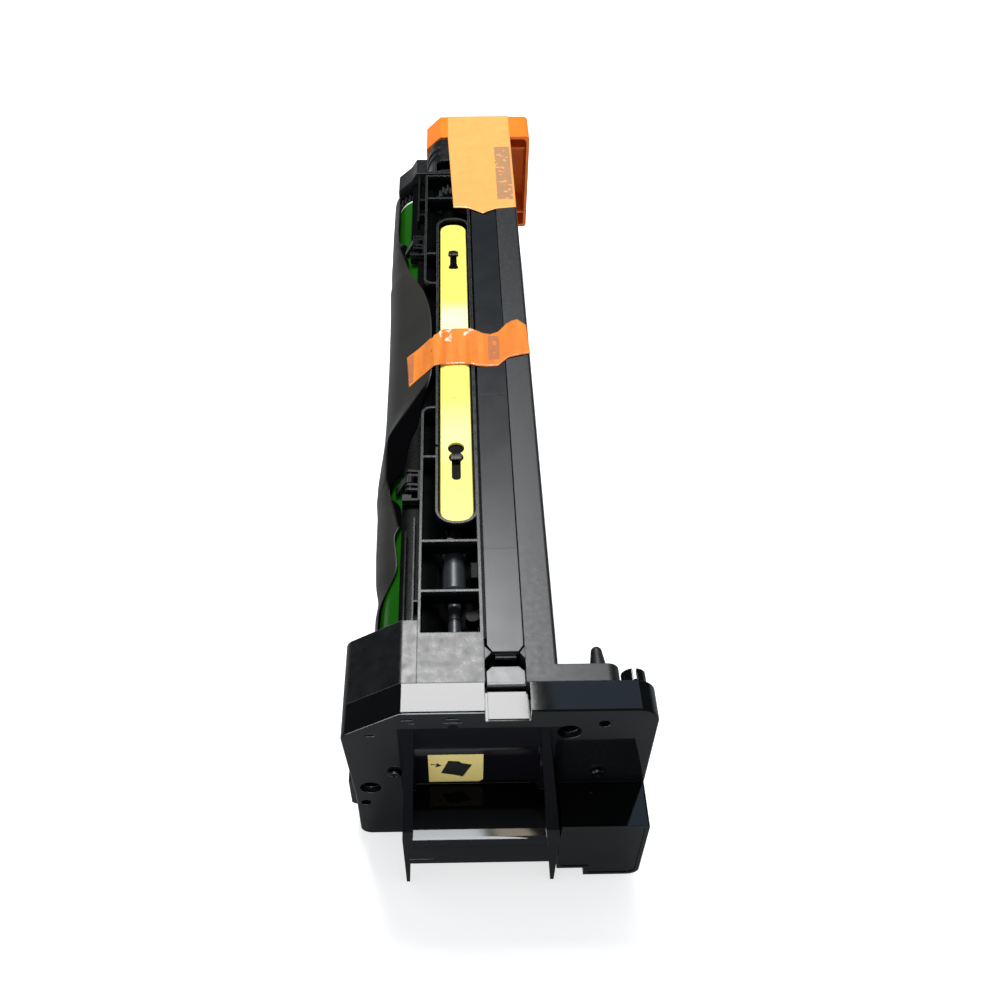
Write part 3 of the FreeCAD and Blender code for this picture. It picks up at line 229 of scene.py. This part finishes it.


# The edge colours below are painted highlights along the edges; the shade masks bring in painted shade.
materials = {
    "frame_black": moulded("frame_black", srgb(16, 17, 18), 0.30, 0.08, 5.0, 0.30, 0.35, 0.10, edge_mm=0.5,
                           painted_edge_highlight=srgb(112, 116, 118), edge_heights=(103.0, 109.2), specular=0.4,
                           shade=(deep_mask, srgb(5, 6, 6))),
    "block_black": moulded("block_black", srgb(14, 15, 16), 0.33, 0.09, 5.0, 0.30, 0.35, 0.10, edge_mm=0.5,
                           painted_edge_highlight=srgb(120, 124, 126), edge_heights=(80.0, 109.0)),
    "rail_black": moulded("rail_black", srgb(22, 25, 27), 0.42, 0.06, 2.5, 0.2, 0.3, 0.10, edge_mm=0.5,
                          painted_edge_highlight=srgb(60, 64, 68), edge_heights=(101.0, 109.0)),
    "strip_black": moulded("strip_black", srgb(19, 23, 27), 0.30, 0.03, 18.0, 0.06, 0.3, 0.015,
                           painted_edge_highlight=srgb(66, 72, 78), specular=0.35),
    "gloss_black": moulded("gloss_black", srgb(7, 8, 9), 0.06, 0.02, 22.0, 0.15, 0.6, 0.004, wave_mm=16.0,
                           wave=0.04, edge_mm=0.35, painted_edge_highlight=srgb(40, 43, 46), specular=0.3,
                           shade=(pocket_mask, srgb(5, 5, 7)), shade_gloss=0.06),
    "catch_grey": moulded("catch_grey", srgb(60, 64, 66), 0.30, 0.05, 4.0, 0.08, 0.3, 0.04,
                          painted_edge_highlight=srgb(120, 126, 130)),
    "small_black": moulded("small_black", srgb(12, 13, 14), 0.30, 0.05, 3.0, 0.20, 0.3, 0.06, edge_mm=0.3,
                           painted_edge_highlight=srgb(92, 96, 98), specular=0.2),
    "strap_yellow": moulded("strap_yellow", srgb(234, 222, 98), 0.32, 0.04, 9.0, 0.03, 0.4, 0.03, edge_mm=0.3,
                            bows=((-2.0, 40.0, 7.0), (-92.0, -44.0, 2.6))),
    "cap_orange": moulded("cap_orange", srgb(246, 120, 24), 0.36, 0.04, 8.0, 0.04, 0.4, 0.04, edge_mm=0.5),
    "grey_plastic": moulded("grey_plastic", srgb(44, 49, 52), 0.34, 0.05, 3.0, 0.12, 0.3, 0.06),
    "gear_white": moulded("gear_white", srgb(222, 226, 214), 0.42, 0.06, 3.0, 0.05, 0.3, 0.05),
    "drum_green": moulded("drum_green", srgb(20, 82, 8), 0.12, 0.02, 30.0, 0.10, 0.5, 0.01, specular=0.3,
                          coat=0.1),
    "steel": moulded("steel", srgb(168, 170, 172), 0.28, 0.08, 2.0, 0.08, 0.3, 0.06, metallic=1.0),
    "screw_black": moulded("screw_black", srgb(44, 46, 49), 0.26, 0.05, 2.0, 0.10, 0.3, 0.05, metallic=1.0),
    "roller_rubber": moulded("roller_rubber", srgb(28, 28, 30), 0.65, 0.08, 1.0, 0.2, 0.2, 0.2),
    "blade_urethane": moulded("blade_urethane", srgb(150, 122, 70), 0.35, 0.05, 4.0, 0.08, 0.4, 0.03),
}
FINISH = {
    "frame_black": ("main_frame",),
    "block_black": ("front_end_frame", "rear_end_frame", "waste_bin", "charger_housing"),
    "small_black": ("finger_brackets", "finger_near", "finger_far", "drum_gear"),
    "rail_black": ("waste_duct",),
    "strip_black": ("duct_strip",),
    "gloss_black": ("front_cover", "box_panel", "latch_panel"),
    "catch_grey": ("slide_catch",),
    "strap_yellow": ("carry_strap",),
    "cap_orange": ("end_cap",),
    "grey_plastic": ("auger_tube", "auger_screw", "auger_pinion", "drive_coupling", "drum_front_flange",
                     "drum_bearings"),
    "gear_white": ("drum_rear_flange", "roller_holders"),
    "drum_green": ("drum_tube",),
    "steel": ("drum_shaft", "charge_core", "holder_springs", "blade_bracket", "earth_contact"),
    "screw_black": ("front_screws", "finger_pins"),
    "roller_rubber": ("charge_roller",),
    "blade_urethane": ("cleaning_blade",),
}


def assign(obj, material):
    """One material for the whole object."""
    obj.data.materials.clear()
    obj.data.materials.append(material)


for finish_name, members in FINISH.items():
    for member in members:
        assign(nodes[member], materials[finish_name])


def tape_material(name, colour, alpha, patches=(), patch_colour=None, crease_strength=0.25, folds=0.0,
                  glints=()):
    """Translucent adhesive tape.

    patches: x0, x1, y0, y1 boxes in mm where it clings to what is under it.
    folds: how much darker the painted shade in bands along its folds is.
    glints: boxes with painted highlights, small pale glints along creases.
    """
    n = Nodes(name)
    shader = n.add("ShaderNodeBsdfPrincipled")
    n.link(shader.outputs[0], n.output.inputs["Surface"])
    cloud = n.noise(9.0, 3.0)
    dark = tuple(c * 0.93 for c in colour[:3]) + (1.0,)
    base = n.mix(n.spread(cloud, 0.3, 0.7, 0.0, 1.0), dark, colour)
    # Painted shade: darker bands along the tape where its folds would be shaded.
    if folds:
        band = n.spread(n.noise(4.2, 1.0, 0.4, (1, 0.10, 1)), 0.38, 0.62, 0.0, 1.0)
        deep = tuple(c * (1 - folds) for c in colour[:3]) + (1.0,)
        base = n.mix(band, deep, base)
    cover = n.spread(n.noise(5.0, 3.0), 0.3, 0.7, alpha - 0.04, alpha + 0.03)

    def within(area):
        """1 inside a box with ragged edges, 0 outside."""
        x0, x1, y0, y1 = area
        ragged = n.spread(n.noise(2.2, 4.0, 0.7), 0.0, 1.0, -0.5 * MM, 0.5 * MM)
        inside = None
        for axis, low, high in ((0, x0, x1), (1, y0, y1)):
            value = n.math("ADD", n.axis(axis), ragged)
            for edge, start, end in ((low, 0.0, 1.0), (high, 1.0, 0.0)):
                part = n.spread(value, (edge - 0.25) * MM, (edge + 0.25) * MM, start, end)
                inside = part if inside is None else n.math("MULTIPLY", inside, part)
        return inside

    for area in patches:
        bubbles = n.spread(n.noise(3.2, 2.0, 0.4), 0.60, 0.66, 1.0, 0.15)
        base = n.mix(n.math("MULTIPLY", within(area), bubbles), base, patch_colour)
    # Painted highlight: pale glints on the creases inside these boxes.
    for area in glints:
        streak = n.spread(n.noise(2.6, 2.0, 0.5, (1, 0.5, 1)), 0.52, 0.60, 0.0, 0.85)
        base = n.mix(n.math("MULTIPLY", within(area), streak), base, srgb(255, 232, 214))
    n.link(base, shader.inputs["Base Color"])
    n.link(cover, shader.inputs["Alpha"])
    shader.inputs["Roughness"].default_value = 0.20
    crease = n.bump(n.noise(8.0, 2.0, 0.45, (1, 0.35, 1)), 0.8 * MM, crease_strength)
    n.link(crease, shader.inputs["Normal"])
    return n.material


def grid(name, rows, thickness_mm, material):
    """Thin smooth sheet through rows of points in mm."""
    count = len(rows[0])
    verts = [Vector(p) * MM for row in rows for p in row]
    faces = [(r * count + c, r * count + c + 1, (r + 1) * count + c + 1, (r + 1) * count + c)
             for r in range(len(rows) - 1) for c in range(count - 1)]
    mesh = bpy.data.meshes.new(name)
    mesh.from_pydata(verts, [], faces)
    for polygon in mesh.polygons:
        polygon.use_smooth = True
    obj = bpy.data.objects.new(name, mesh)
    scene.collection.objects.link(obj)
    solid = obj.modifiers.new("thickness", "SOLIDIFY")
    solid.thickness = thickness_mm * MM
    solid.offset = 1.0
    assign(obj, material)
    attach(obj, "frame")
    return obj


def along(points, x):
    """Value at x on straight lines between (x, value) points."""
    if x <= points[0][0]:
        return points[0][1]
    for (x0, v0), (x1, v1) in zip(points, points[1:]):
        if x <= x1:
            t = (x - x0) / (x1 - x0)
            return v0 + (v1 - v0) * t
    return points[-1][1]


def smooth_along(points, x, reach):
    """The same, averaged over a window so that corners round off."""
    steps = 8
    total = sum(along(points, x + reach * (k / steps - 0.5)) for k in range(steps + 1))
    return total / (steps + 1)


# Narrow tape over the strap: stations along the far and near edges, x, y, z
TAPE_FAR = [(-39.1, -4.7, 102.5), (-32.2, 0.4, 105), (-25.8, 3.6, 109), (-22.6, 6.2, 110.3),
            (-21.0, 8.8, 110.2), (-18.4, 10.9, 109), (-13.6, 11.9, 108.6), (-6.6, 11.3, 109),
            (-2.9, 8.3, 110.4), (0.7, 6.0, 110.1), (4.9, 5.1, 109.8), (9.2, 7.0, 109.9),
            (13.8, 13.4, 110.3), (16.5, 15.2, 110.8), (19.7, 16.0, 111.2), (24.4, 12.1, 110.4)]
TAPE_NEAR = [(-37.7, -26.5, 100.8), (-32.5, -23.6, 104), (-27.7, -22.1, 108), (-24.6, -20.8, 110.2),
             (-22.0, -19.8, 110.1), (-18.5, -18.3, 108.8), (-13.8, -17.9, 108.6), (-8.7, -17.9, 108.7),
             (-5.6, -19.9, 110.2), (-2.6, -21.1, 110.1), (2.6, -21.3, 109.8), (8.2, -21.1, 109.8),
             (10.9, -18.0, 110.1), (13.6, -15.2, 110.4), (19.4, -13.4, 110.6), (25.2, -11.7, 110.3)]
TAPE_LIFT = 0.15
RIPPLE = 0.12
OVER_FILM_X = -22.0
FILM_CLEARANCE = 0.5
# Spans in x of the walls beside the strap, and the least height of the tape over them
WALL_SPANS = ((-25.2, -22.0), (-5.9, -3.1))
WALL_TAPE_Z = 110.25


def make_narrow_tape():
    """Creased strip of tape that holds the strap down."""
    along_steps, across_steps = 96, 18
    rows = []
    last = len(TAPE_FAR) - 1
    for i in range(along_steps + 1):
        place = i / along_steps * last
        k = min(int(place), last - 1)
        t = place - k
        ease = t * t * (3 - 2 * t) * 0.5 + t * 0.5
        far = Vector(TAPE_FAR[k]).lerp(Vector(TAPE_FAR[k + 1]), ease)
        near = Vector(TAPE_NEAR[k]).lerp(Vector(TAPE_NEAR[k + 1]), ease)
        row = []
        for j in range(across_steps + 1):
            s = j / across_steps
            point = near.lerp(far, s)
            crown = math.sin(math.pi * s)
            ripple = math.sin(place * 2.3 + s * 3.0) * RIPPLE * crown
            point.z += TAPE_LIFT + max(0.0, ripple)
            if point.x < OVER_FILM_X:
                point.z = max(film_top(point.x, point.y) + FILM_CLEARANCE, min(point.z, 110.3))
            if any(low < point.x < high for low, high in WALL_SPANS):
                point.z = max(point.z, WALL_TAPE_Z)
            row.append(point)
        rows.append(row)
    tape = grid("tape_narrow", rows, 0.12,
                tape_material("tape_narrow", srgb(250, 142, 60), 0.88,
                              [(-38.4, -35.4, -24.0, -4.0), (3.6, 9.4, -16.0, 3.6)],
                              patch_colour=srgb(188, 116, 76), crease_strength=0.6, folds=0.22,
                              glints=[(-22.5, -15.5, 0.5, 11.5), (-9.0, -3.2, 5.5, 11.5)]))
    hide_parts("narrow_tape")


def make_wide_tape():
    """Broad tape from the top of the cap forward onto the rail."""
    left = [(122, -13.2), (129, -13.4), (216, -16.5), (245, -16.4)]
    right = [(122, 24.8), (245, 24.9)]
    front = [(-13.4, 128.9), (-9.0, 128.9), (-4.3, 128.2), (0.0, 125.3), (4.2, 122.2), (8.0, 124.9),
             (12.5, 127.3), (18.0, 128.2), (24.8, 129.0)]
    front_x, width, rear_y = -13.4, 38.2, 244.4
    fold_x, fold_width, fold_start, fold_span = -3.6, 1.1, 0.12, 0.62
    rows = []
    long_steps, cross_steps = 70, 44
    for i in range(long_steps + 1):
        v = i / long_steps
        row = []
        for j in range(cross_steps + 1):
            u = j / cross_steps
            y_front = along(front, front_x + width * u)
            y = y_front + (rear_y - y_front) * v
            x0, x1 = along(left, y), along(right, y)
            x = x0 + (x1 - x0) * u
            fold = 0.0
            if v > fold_start:
                lengthwise = max(0.0, math.sin(math.pi * (v - fold_start) / fold_span))
                fold = math.exp(-((x - fold_x) / fold_width) ** 2) * lengthwise
            puff = math.sin(math.pi * v) * math.sin(9.0 * u) ** 2
            z = 110.12 + 0.30 * puff + 0.35 * fold
            row.append((x, y, z))
        rows.append(row)
    tape = grid("tape_wide", rows, 0.12,
                tape_material("tape_wide", srgb(255, 172, 96), 0.93, [(13.7, 23.7, 138.0, 202.0)],
                              patch_colour=srgb(176, 134, 98)))
    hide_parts("wide_tape")


# Film: x and z of the drum's axis, the radius and the angle at which the film starts, and its start below
DRUM = (-33.3, 84.0)
WRAP_R = 17.1
WRAP_START_DEG = 213.0
BULGE_EASE_DEG = 40.0
FILM_START = (-37.95, 61.8)
# Stations along the unit: y, x, z of the ridge
RIDGE = [(-177.5, -48.6, 90.6), (-161, -48.4, 91.0), (-147, -40.0, 99.7), (-141, -40.5, 99.8),
         (-127, -42.2, 99.6), (-115, -43.9, 98.6), (-99, -46.3, 97.0), (-93.4, -46.6, 97.8),
         (-85.1, -47.5, 98.5), (-74, -48.6, 99.0), (-64.8, -48.0, 99.5), (-58.9, -46.0, 100.0),
         (-52, -42.6, 101.0), (-42.4, -36.7, 103.0), (-31.5, -29.2, 106.0), (-23.5, -25.4, 108.5),
         (-15, -25.6, 109.2), (18, -26.0, 109.3), (32, -27.4, 108.6), (48, -30.4, 106.6),
         (58, -33.6, 104.5), (70, -37.2, 102.1), (79, -40.9, 99.6), (92, -45.3, 97.0),
         (126, -47.4, 94.8), (168.5, -47.5, 94.4)]
# y, and how far the free edge lies from the ridge in x and z
FLAP = [(-177.5, 0, 0), (-124.5, 0, 0), (-122.5, 4.2, 1.2), (-112, 4.8, 1.6), (-106.0, 5.4, 2.0),
        (-105.0, 1.0, 0.4), (-91.5, 1.0, 0.4), (-90.5, 7.6, 2.7), (-81.4, 10.0, 3.9),
        (-61.1, 13.4, 3.4), (-52, 10.8, 3.0), (-41, 5.8, 2.0), (-33.7, 2.9, 0.9), (-25.9, 0.4, 0.2),
        (-20, 0, 0), (76, 0, 0), (84, 2.4, 0.8), (91.5, 5.2, 2.0), (92.5, 2.2, 1.0), (103.0, 2.6, 1.1),
        (104.0, 6.0, 2.4), (107.5, 6.2, 2.6), (110.0, 0, 0), (168.5, 0, 0)]
# y, and how far the film stands off its radius round the drum
BULGE = [(-177.5, -1.0), (-165, -0.6), (-145, 1.8), (-128, 3.3), (-112, 3.0), (-95, 2.2), (-75, 1.2),
         (-59, -0.4), (-45, -0.9), (9, -0.9), (51, -0.2), (80, 1.0), (104, 1.7), (159, 1.8), (168.5, 1.2)]


def pair_along(points, y, reach):
    """Smoothed pair of values at y through (y, a, b) stations."""
    return [smooth_along([(p[0], p[k]) for p in points], y, reach) for k in (1, 2)]


def film_profile(y):
    """Points of the film's cross-section at y: round the drum, straight on to the ridge, then the flap."""
    ridge_x, ridge_z = pair_along(RIDGE, y, 6.0)
    flap_x, flap_z = pair_along(FLAP, y, 1.5)
    bulge = smooth_along(BULGE, y, 24.0)
    from_axis = (ridge_x - DRUM[0], ridge_z - DRUM[1])
    distance = math.hypot(*from_axis)
    touch = min(1.0, (WRAP_R + bulge) / distance)
    last_deg = math.degrees(math.atan2(from_axis[1], from_axis[0]) + math.acos(touch))
    points = [Vector((FILM_START[0], y, FILM_START[1]))]
    arc_steps, straight_steps, flap_steps = 40, 12, 8
    for k in range(arc_steps + 1):
        deg = WRAP_START_DEG + (last_deg - WRAP_START_DEG) * k / arc_steps
        r = WRAP_R + bulge * max(0.0, min(1.0, (WRAP_START_DEG - deg) / BULGE_EASE_DEG))
        r = min(r, distance)
        angle = math.radians(deg)
        points.append(Vector((DRUM[0] + r * math.cos(angle), y, DRUM[1] + r * math.sin(angle))))
    ridge = Vector((ridge_x, y, ridge_z))
    edge = ridge + Vector((flap_x, 0.0, flap_z))
    start = points[-1]
    points += [start.lerp(ridge, k / straight_steps) for k in range(1, straight_steps + 1)]
    points += [ridge.lerp(edge, k / flap_steps) for k in range(1, flap_steps + 1)]
    return points


def resample(points, count):
    """Evenly spaced points along a polyline."""
    lengths = [0.0]
    for a, b in zip(points, points[1:]):
        lengths.append(lengths[-1] + (b - a).length)
    out = []
    k = 0
    for i in range(count):
        target = lengths[-1] * i / (count - 1)
        while k < len(points) - 2 and lengths[k + 1] < target:
            k += 1
        part = (target - lengths[k]) / max(1e-9, lengths[k + 1] - lengths[k])
        out.append(points[k].lerp(points[k + 1], min(1.0, part)))
    return out


def eased(rows, along_unit, along_profile):
    """Rows of points with their bends rounded in both directions; the border keeps its place."""
    for _ in range(along_profile):
        rows = [[row[0]] + [(a + b * 2 + c) / 4 for a, b, c in zip(row, row[1:], row[2:])] + [row[-1]]
                for row in rows]
    for _ in range(along_unit):
        middle = [[(a + b * 2 + c) / 4 for a, b, c in zip(*three)]
                  for three in zip(rows, rows[1:], rows[2:])]
        rows = [rows[0]] + middle + [rows[-1]]
    return rows


FILM_Y0, FILM_Y1, FILM_STEPS = -177.0, 168.0, 150
FILM_POINTS = 56
FILM_ROWS = eased([resample(film_profile(FILM_Y0 + (FILM_Y1 - FILM_Y0) * i / FILM_STEPS), FILM_POINTS)
                   for i in range(FILM_STEPS + 1)], 2, 3)
NO_FILM_Z = -1000.0


def film_top(x, y):
    """Height of the film over a point, or NO_FILM_Z where there is no film."""
    place = round((y - FILM_Y0) / (FILM_Y1 - FILM_Y0) * FILM_STEPS)
    row = FILM_ROWS[max(0, min(FILM_STEPS, place))]
    top = NO_FILM_Z
    for a, b in zip(row, row[1:]):
        if min(a.x, b.x) <= x <= max(a.x, b.x):
            share = 0.0 if abs(b.x - a.x) < 1e-9 else (x - a.x) / (b.x - a.x)
            top = max(top, a.z + (b.z - a.z) * share)
    return top


def flap_mask(n):
    """1 on the two flaps that the film folds inwards, 0 elsewhere; it stands in for deep shadow."""
    x, y = n.axis(0), n.axis(1)
    # The folds are sloping lines in x and y, in metres
    middle = n.math("ADD", n.math("MULTIPLY", n.math("ADD", y, 0.0235), 0.593), -0.0252)
    near = n.math("SUBTRACT", -0.0436, n.math("MULTIPLY", n.math("ADD", y, 0.109), 0.20))
    line = n.math("MAXIMUM", n.math("MAXIMUM", near, middle), -0.0478)
    beyond = n.spread(n.math("SUBTRACT", x, line), -0.0006, 0.0008, 0.0, 1.0)
    first = n.math("MULTIPLY", n.spread(y, -0.1245, -0.1215, 0.0, 1.0), n.spread(y, -0.034, -0.022, 1.0, 0.0))
    far_line = n.math("SUBTRACT", -0.0396, n.math("MULTIPLY", n.math("ADD", y, -0.076), 0.22))
    beyond_far = n.spread(n.math("SUBTRACT", x, far_line), -0.0006, 0.0008, 0.0, 1.0)
    second = n.math("MULTIPLY", n.spread(y, 0.076, 0.080, 0.0, 1.0), n.spread(y, 0.108, 0.110, 1.0, 0.0))
    both = n.math("MAXIMUM", n.math("MULTIPLY", beyond, first), n.math("MULTIPLY", beyond_far, second))
    return n.math("MULTIPLY", both, n.spread(n.axis(2), 91.0 * MM, 93.0 * MM, 0.0, 1.0))


def make_film():
    """Black film over the open side of the drum, its free edge waving."""
    black = moulded("film_black", srgb(44, 43, 40), 0.42, 0.04, 26.0, 0.08, 0.6, 0.02, wave_mm=34.0,
                    wave=0.10, edge_mm=0.0, specular=0.25, shade=(flap_mask, srgb(6, 6, 7)), shade_gloss=0.0)
    film = grid("film", FILM_ROWS, 0.3, black)
    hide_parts("light_shield")


def plate(name, outline, y, depth, material):
    """Thin plate facing -Y from an x, z outline in mm; y is its back."""
    verts = [Vector((x, y, z)) * MM for x, z in outline]
    mesh = bpy.data.meshes.new(name)
    mesh.from_pydata(verts, [], [tuple(range(len(verts)))])
    obj = bpy.data.objects.new(name, mesh)
    scene.collection.objects.link(obj)
    solid = obj.modifiers.new("thickness", "SOLIDIFY")
    solid.thickness = depth * MM
    solid.offset = 1.0
    assign(obj, material)
    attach(obj, "frame")
    return obj


LABEL_Y = -222.36
LABEL_THICKNESS = 0.14
PRINT_THICKNESS = 0.04


def make_label():
    """Plain label in the pocket with a generic arrow and pictogram."""
    yellow = moulded("label_yellow", srgb(140, 126, 76), 0.35, 0.05, 12.0, 0.05, 0.5, 0.02, edge_mm=0.0)
    outline = [(-27.1, 51.0), (-6.0, 51.0), (-4.4, 52.8), (-4.4, 73.5), (-27.1, 73.5)]
    plate("label", outline, LABEL_Y, LABEL_THICKNESS, yellow)
    black = moulded("print_black", srgb(4, 4, 4), 0.60, 0.05, 5.0, 0.1, 0.4, 0.02, edge_mm=0.0, specular=0.1)
    panel = [(-22.0, 58.5), (-16.6, 56.9), (-12.9, 55.3), (-9.0, 65.2), (-13.4, 66.6), (-14.2, 68.0),
             (-18.8, 68.6)]
    arrow = [(-26.1, 65.4), (-23.6, 64.9), (-24.4, 63.2), (-21.5, 64.6), (-23.6, 66.9), (-23.8, 65.6),
             (-26.1, 66.2)]
    for name, shape in (("label_panel", panel), ("label_arrow", arrow)):
        piece = plate(name, shape, LABEL_Y - LABEL_THICKNESS, PRINT_THICKNESS, black)


SHADE_SHEET_R = 16.3


def make_shade_sheet():
    """Black sheet below the auger tube, painted shade so that the floor doesn't show through the front cells.

    It is a stand-in: the photograph shows black there and no such part.
    """
    angles = [math.radians(deg) for deg in range(62, 33, -4)]
    section = [(DRUM[0] + SHADE_SHEET_R * math.cos(angle), DRUM[1] + SHADE_SHEET_R * math.sin(angle)) for angle in angles]
    section += [(-17.0, 90.4), (-12.0, 90.2), (-5.5, 90.2)]
    rows = [[(x, y, z) for x, z in section] for y in (-187.0, -165.0, -145.0, -124.5)]
    # Painted shade: a near-black sheet in the cells, where there is only shade.
    black = moulded("shade_sheet_black", srgb(6, 6, 7), 0.7, 0.05, 5.0, 0.2, 0.5, 0.02, edge_mm=0.0, specular=0.1)
    grid("shade_sheet", rows, 0.3, black)


make_label()
make_narrow_tape()
make_wide_tape()
make_film()
make_shade_sheet()


def soften(obj):
    """Joined vertices and smooth shading up to the sharp edges of a CAD node."""
    weld = obj.modifiers.new("weld", "WELD")
    weld.merge_threshold = 0.002 * MM
    for polygon in obj.data.polygons:
        polygon.use_smooth = True
    split = obj.modifiers.new("sharp", "EDGE_SPLIT")
    split.split_angle = math.radians(28)
    split.use_edge_sharp = False


for node in nodes.values():
    soften(node)


FLOOR_TONE = (0.80, 0.80, 0.80, 1.0)
FLOOR_TONE_MIRRORED = (0.32, 0.33, 0.34, 1.0)
FLOOR_GLOW = 0.55


def make_floor():
    """Plain pale floor: white to the camera, with the shadow, and darker in mirror reflections."""
    n = Nodes("floor")
    diffuse = n.add("ShaderNodeBsdfDiffuse")
    glow = n.add("ShaderNodeEmission")
    path = n.add("ShaderNodeLightPath")
    tone = n.mix(path.outputs["Is Glossy Ray"], FLOOR_TONE, FLOOR_TONE_MIRRORED)
    n.link(tone, diffuse.inputs["Color"])
    seen = n.math("MAXIMUM", path.outputs["Is Camera Ray"], path.outputs["Is Transmission Ray"])
    n.link(n.math("MULTIPLY", seen, FLOOR_GLOW), glow.inputs["Strength"])
    total = n.add("ShaderNodeAddShader")
    n.link(diffuse.outputs[0], total.inputs[0])
    n.link(glow.outputs[0], total.inputs[1])
    n.link(total.outputs[0], n.output.inputs["Surface"])
    mesh = bpy.data.meshes.new("floor")
    half = 4.0
    corners = [(-half, -half, 0), (half, -half, 0), (half, half, 0), (-half, half, 0)]
    mesh.from_pydata(corners, [], [(0, 1, 2, 3)])
    floor = bpy.data.objects.new("floor", mesh)
    floor.location.z = -0.0002
    scene.collection.objects.link(floor)
    assign(floor, n.material)


def lamp(name, at, toward, size, radiance, colour=(1.0, 1.0, 1.0)):
    """Rectangular soft lamp of a given radiance."""
    data = bpy.data.lights.new(name, "AREA")
    data.shape = "RECTANGLE"
    data.color = colour
    data.size, data.size_y = size
    data.energy = radiance * math.pi * size[0] * size[1]
    obj = bpy.data.objects.new(name, data)
    obj.location = at
    aim = Vector(toward) - Vector(at)
    obj.rotation_euler = aim.to_track_quat("-Z", "Y").to_euler()
    obj.visible_camera = False
    scene.collection.objects.link(obj)


WORLD_LIGHT = 0.42
WORLD_LIGHT_MIRRORED = 0.07


def make_world():
    """Even surroundings: pale grey to the camera and darker in mirror reflections."""
    world = bpy.data.worlds.new("world")
    world.use_nodes = True
    tree = world.node_tree
    tree.nodes.clear()
    output = tree.nodes.new("ShaderNodeOutputWorld")
    sky = tree.nodes.new("ShaderNodeBackground")
    shown = tree.nodes.new("ShaderNodeBackground")
    sky.inputs["Color"].default_value = (0.93, 0.97, 1.0, 1.0)
    shown.inputs["Strength"].default_value = 1.0
    mix = tree.nodes.new("ShaderNodeMixShader")
    path = tree.nodes.new("ShaderNodeLightPath")
    dim = tree.nodes.new("ShaderNodeMapRange")
    dim.inputs["To Min"].default_value = WORLD_LIGHT
    dim.inputs["To Max"].default_value = WORLD_LIGHT_MIRRORED
    tree.links.new(path.outputs["Is Glossy Ray"], dim.inputs["Value"])
    tree.links.new(dim.outputs["Result"], sky.inputs["Strength"])
    tree.links.new(path.outputs["Is Camera Ray"], mix.inputs[0])
    tree.links.new(sky.outputs[0], mix.inputs[1])
    tree.links.new(shown.outputs[0], mix.inputs[2])
    tree.links.new(mix.outputs[0], output.inputs["Surface"])
    scene.world = world


make_floor()
make_world()
lamp("ceiling_panel", (-0.12, 0.50, 1.25), (-0.12, 0.50, 0.0), (0.45, 0.50), 27.0)
lamp("right_sky", (0.45, 0.50, 1.25), (0.45, 0.50, 0.0), (0.60, 0.50), 1.2, (0.55, 0.75, 1.0))
lamp("right_panel", (0.27, 0.70, 1.25), (0.27, 0.70, 0.0), (0.26, 0.18), 14.0)
lamp("low_box", (-0.06, -1.30, 0.32), (-0.06, 0.0, 0.32), (0.16, 0.60), 20.0, (0.92, 0.97, 1.0))
lamp("low_warm", (0.06, -1.30, 0.32), (0.06, 0.0, 0.32), (0.05, 0.60), 9.0, (1.0, 0.86, 0.66))
lamp("low_card", (-0.06, -0.80, 0.02), (-0.06, -0.80, 1.0), (0.16, 0.92), 20.0, (0.92, 0.97, 1.0))

scene.view_settings.view_transform = "Standard"
